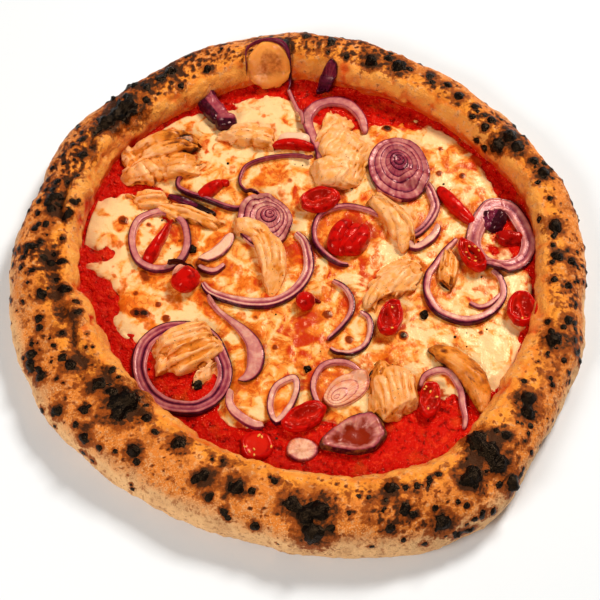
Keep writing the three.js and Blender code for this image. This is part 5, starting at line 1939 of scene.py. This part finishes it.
def lay_onions(bed: Bed, finish: bpy.types.Material) -> Pile:
    """Lays the onions, each carried over the earlier ones that it crosses, and returns their pile."""
    pile = Pile(bed)

    def lay(name: str, *shells: Shell) -> None:
        dress(name, together(shells), finish, "onion", name)

    for seed, (name, band) in enumerate(ONION_BANDS.items(), 100):
        lay(name, band.shell(pile, 5 * seed))
        pile.mounds.append(band.mounds())
    lay("onion_ring_lower_right", *(band.shell(pile, 700 + i) for i, band in enumerate(RING_LOWER_RIGHT)))
    pile.mounds.extend(band.mounds() for band in RING_LOWER_RIGHT)
    heart = Petal((HEART_DARK,), (1.0, 0.75), burn=0.35)
    lay("onion_ring_thick_right", RING_THICK_RIGHT.shell(pile, 720), heart.shell(bed, 710))
    pile.mounds.append(RING_THICK_RIGHT.mounds())
    strands = (band.shell(pile, 740 + i) for i, band in enumerate(STRANDS_ON_CRUST))
    lay("onion_slice_on_crust", SLICE_ON_CRUST.shell(pile, 737), *strands)
    pile.mounds.append(STRANDS_ON_CRUST[1].mounds())
    lay("onion_petal_back", PETAL_BACK.shell(pile, 755))
    lay("onion_petal_pink", PETAL_PINK.shell(pile, 745))
    lay("onion_petal_dark", Petal(PETAL_DARK, (0.92, 0.5)).shell(bed, 3750))
    for seed, (name, piece) in enumerate(ONION_ROUNDS.items(), 800):
        lay(name, piece.shell(pile, 5 * seed))
        mound = [piece.x, piece.y, min(piece.long, piece.wide) / 2, piece.height + ONION_GAP]
        pile.mounds.append(np.array([mound]))
    return pile


def lay_red_pieces(bed: Bed, pile: Pile, finish: bpy.types.Material) -> None:
    """Lays the peppers and tomatoes."""
    for seed, (name, parts) in enumerate(RED_PIECES.items(), 900):
        burnt = {"burn": 0.55} if name == "tomato_burnt" else None
        shells = [
            part.shell(bed, burnt) if isinstance(part, Chunk) else part.shell(pile, 5 * seed)
            for part in parts
        ]
        dress(name, together(shells), finish, "pepper", name)


def main() -> None:
    """Builds every piece in the order that it was laid down in, then the studio."""
    logging.basicConfig(level=logging.INFO, format="%(name)s: %(message)s", stream=sys.stdout)
    bed, camera = Bed(), Camera()
    crust = CrustFinish().material()
    dress("dough", Dough(bed, camera).shell(), crust, "crust", "dough")
    dress("tomato_sauce", SauceSheet(bed).shell(), SauceFinish().material(), "sauce", "tomato_sauce")
    cheese = CheeseSheet(bed, camera).shell()
    dress("melted_cheese", cheese, CheeseFinish().material(), "cheese", "melted_cheese")
    pile = lay_onions(bed, OnionFinish().material())
    roast = ChickenFinish().material()
    for seed, (name, piece) in enumerate(CHICKENS.items(), 600):
        dress(name, piece.shell(bed, 11 * seed), roast, "chicken", name)
    lay_red_pieces(bed, pile, PepperFinish().material())
    dress("burnt_bits", BurntBits(bed).shell(), crust, "crust")
    Studio(camera).build()
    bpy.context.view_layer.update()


if __name__ == "__main__":
    main()
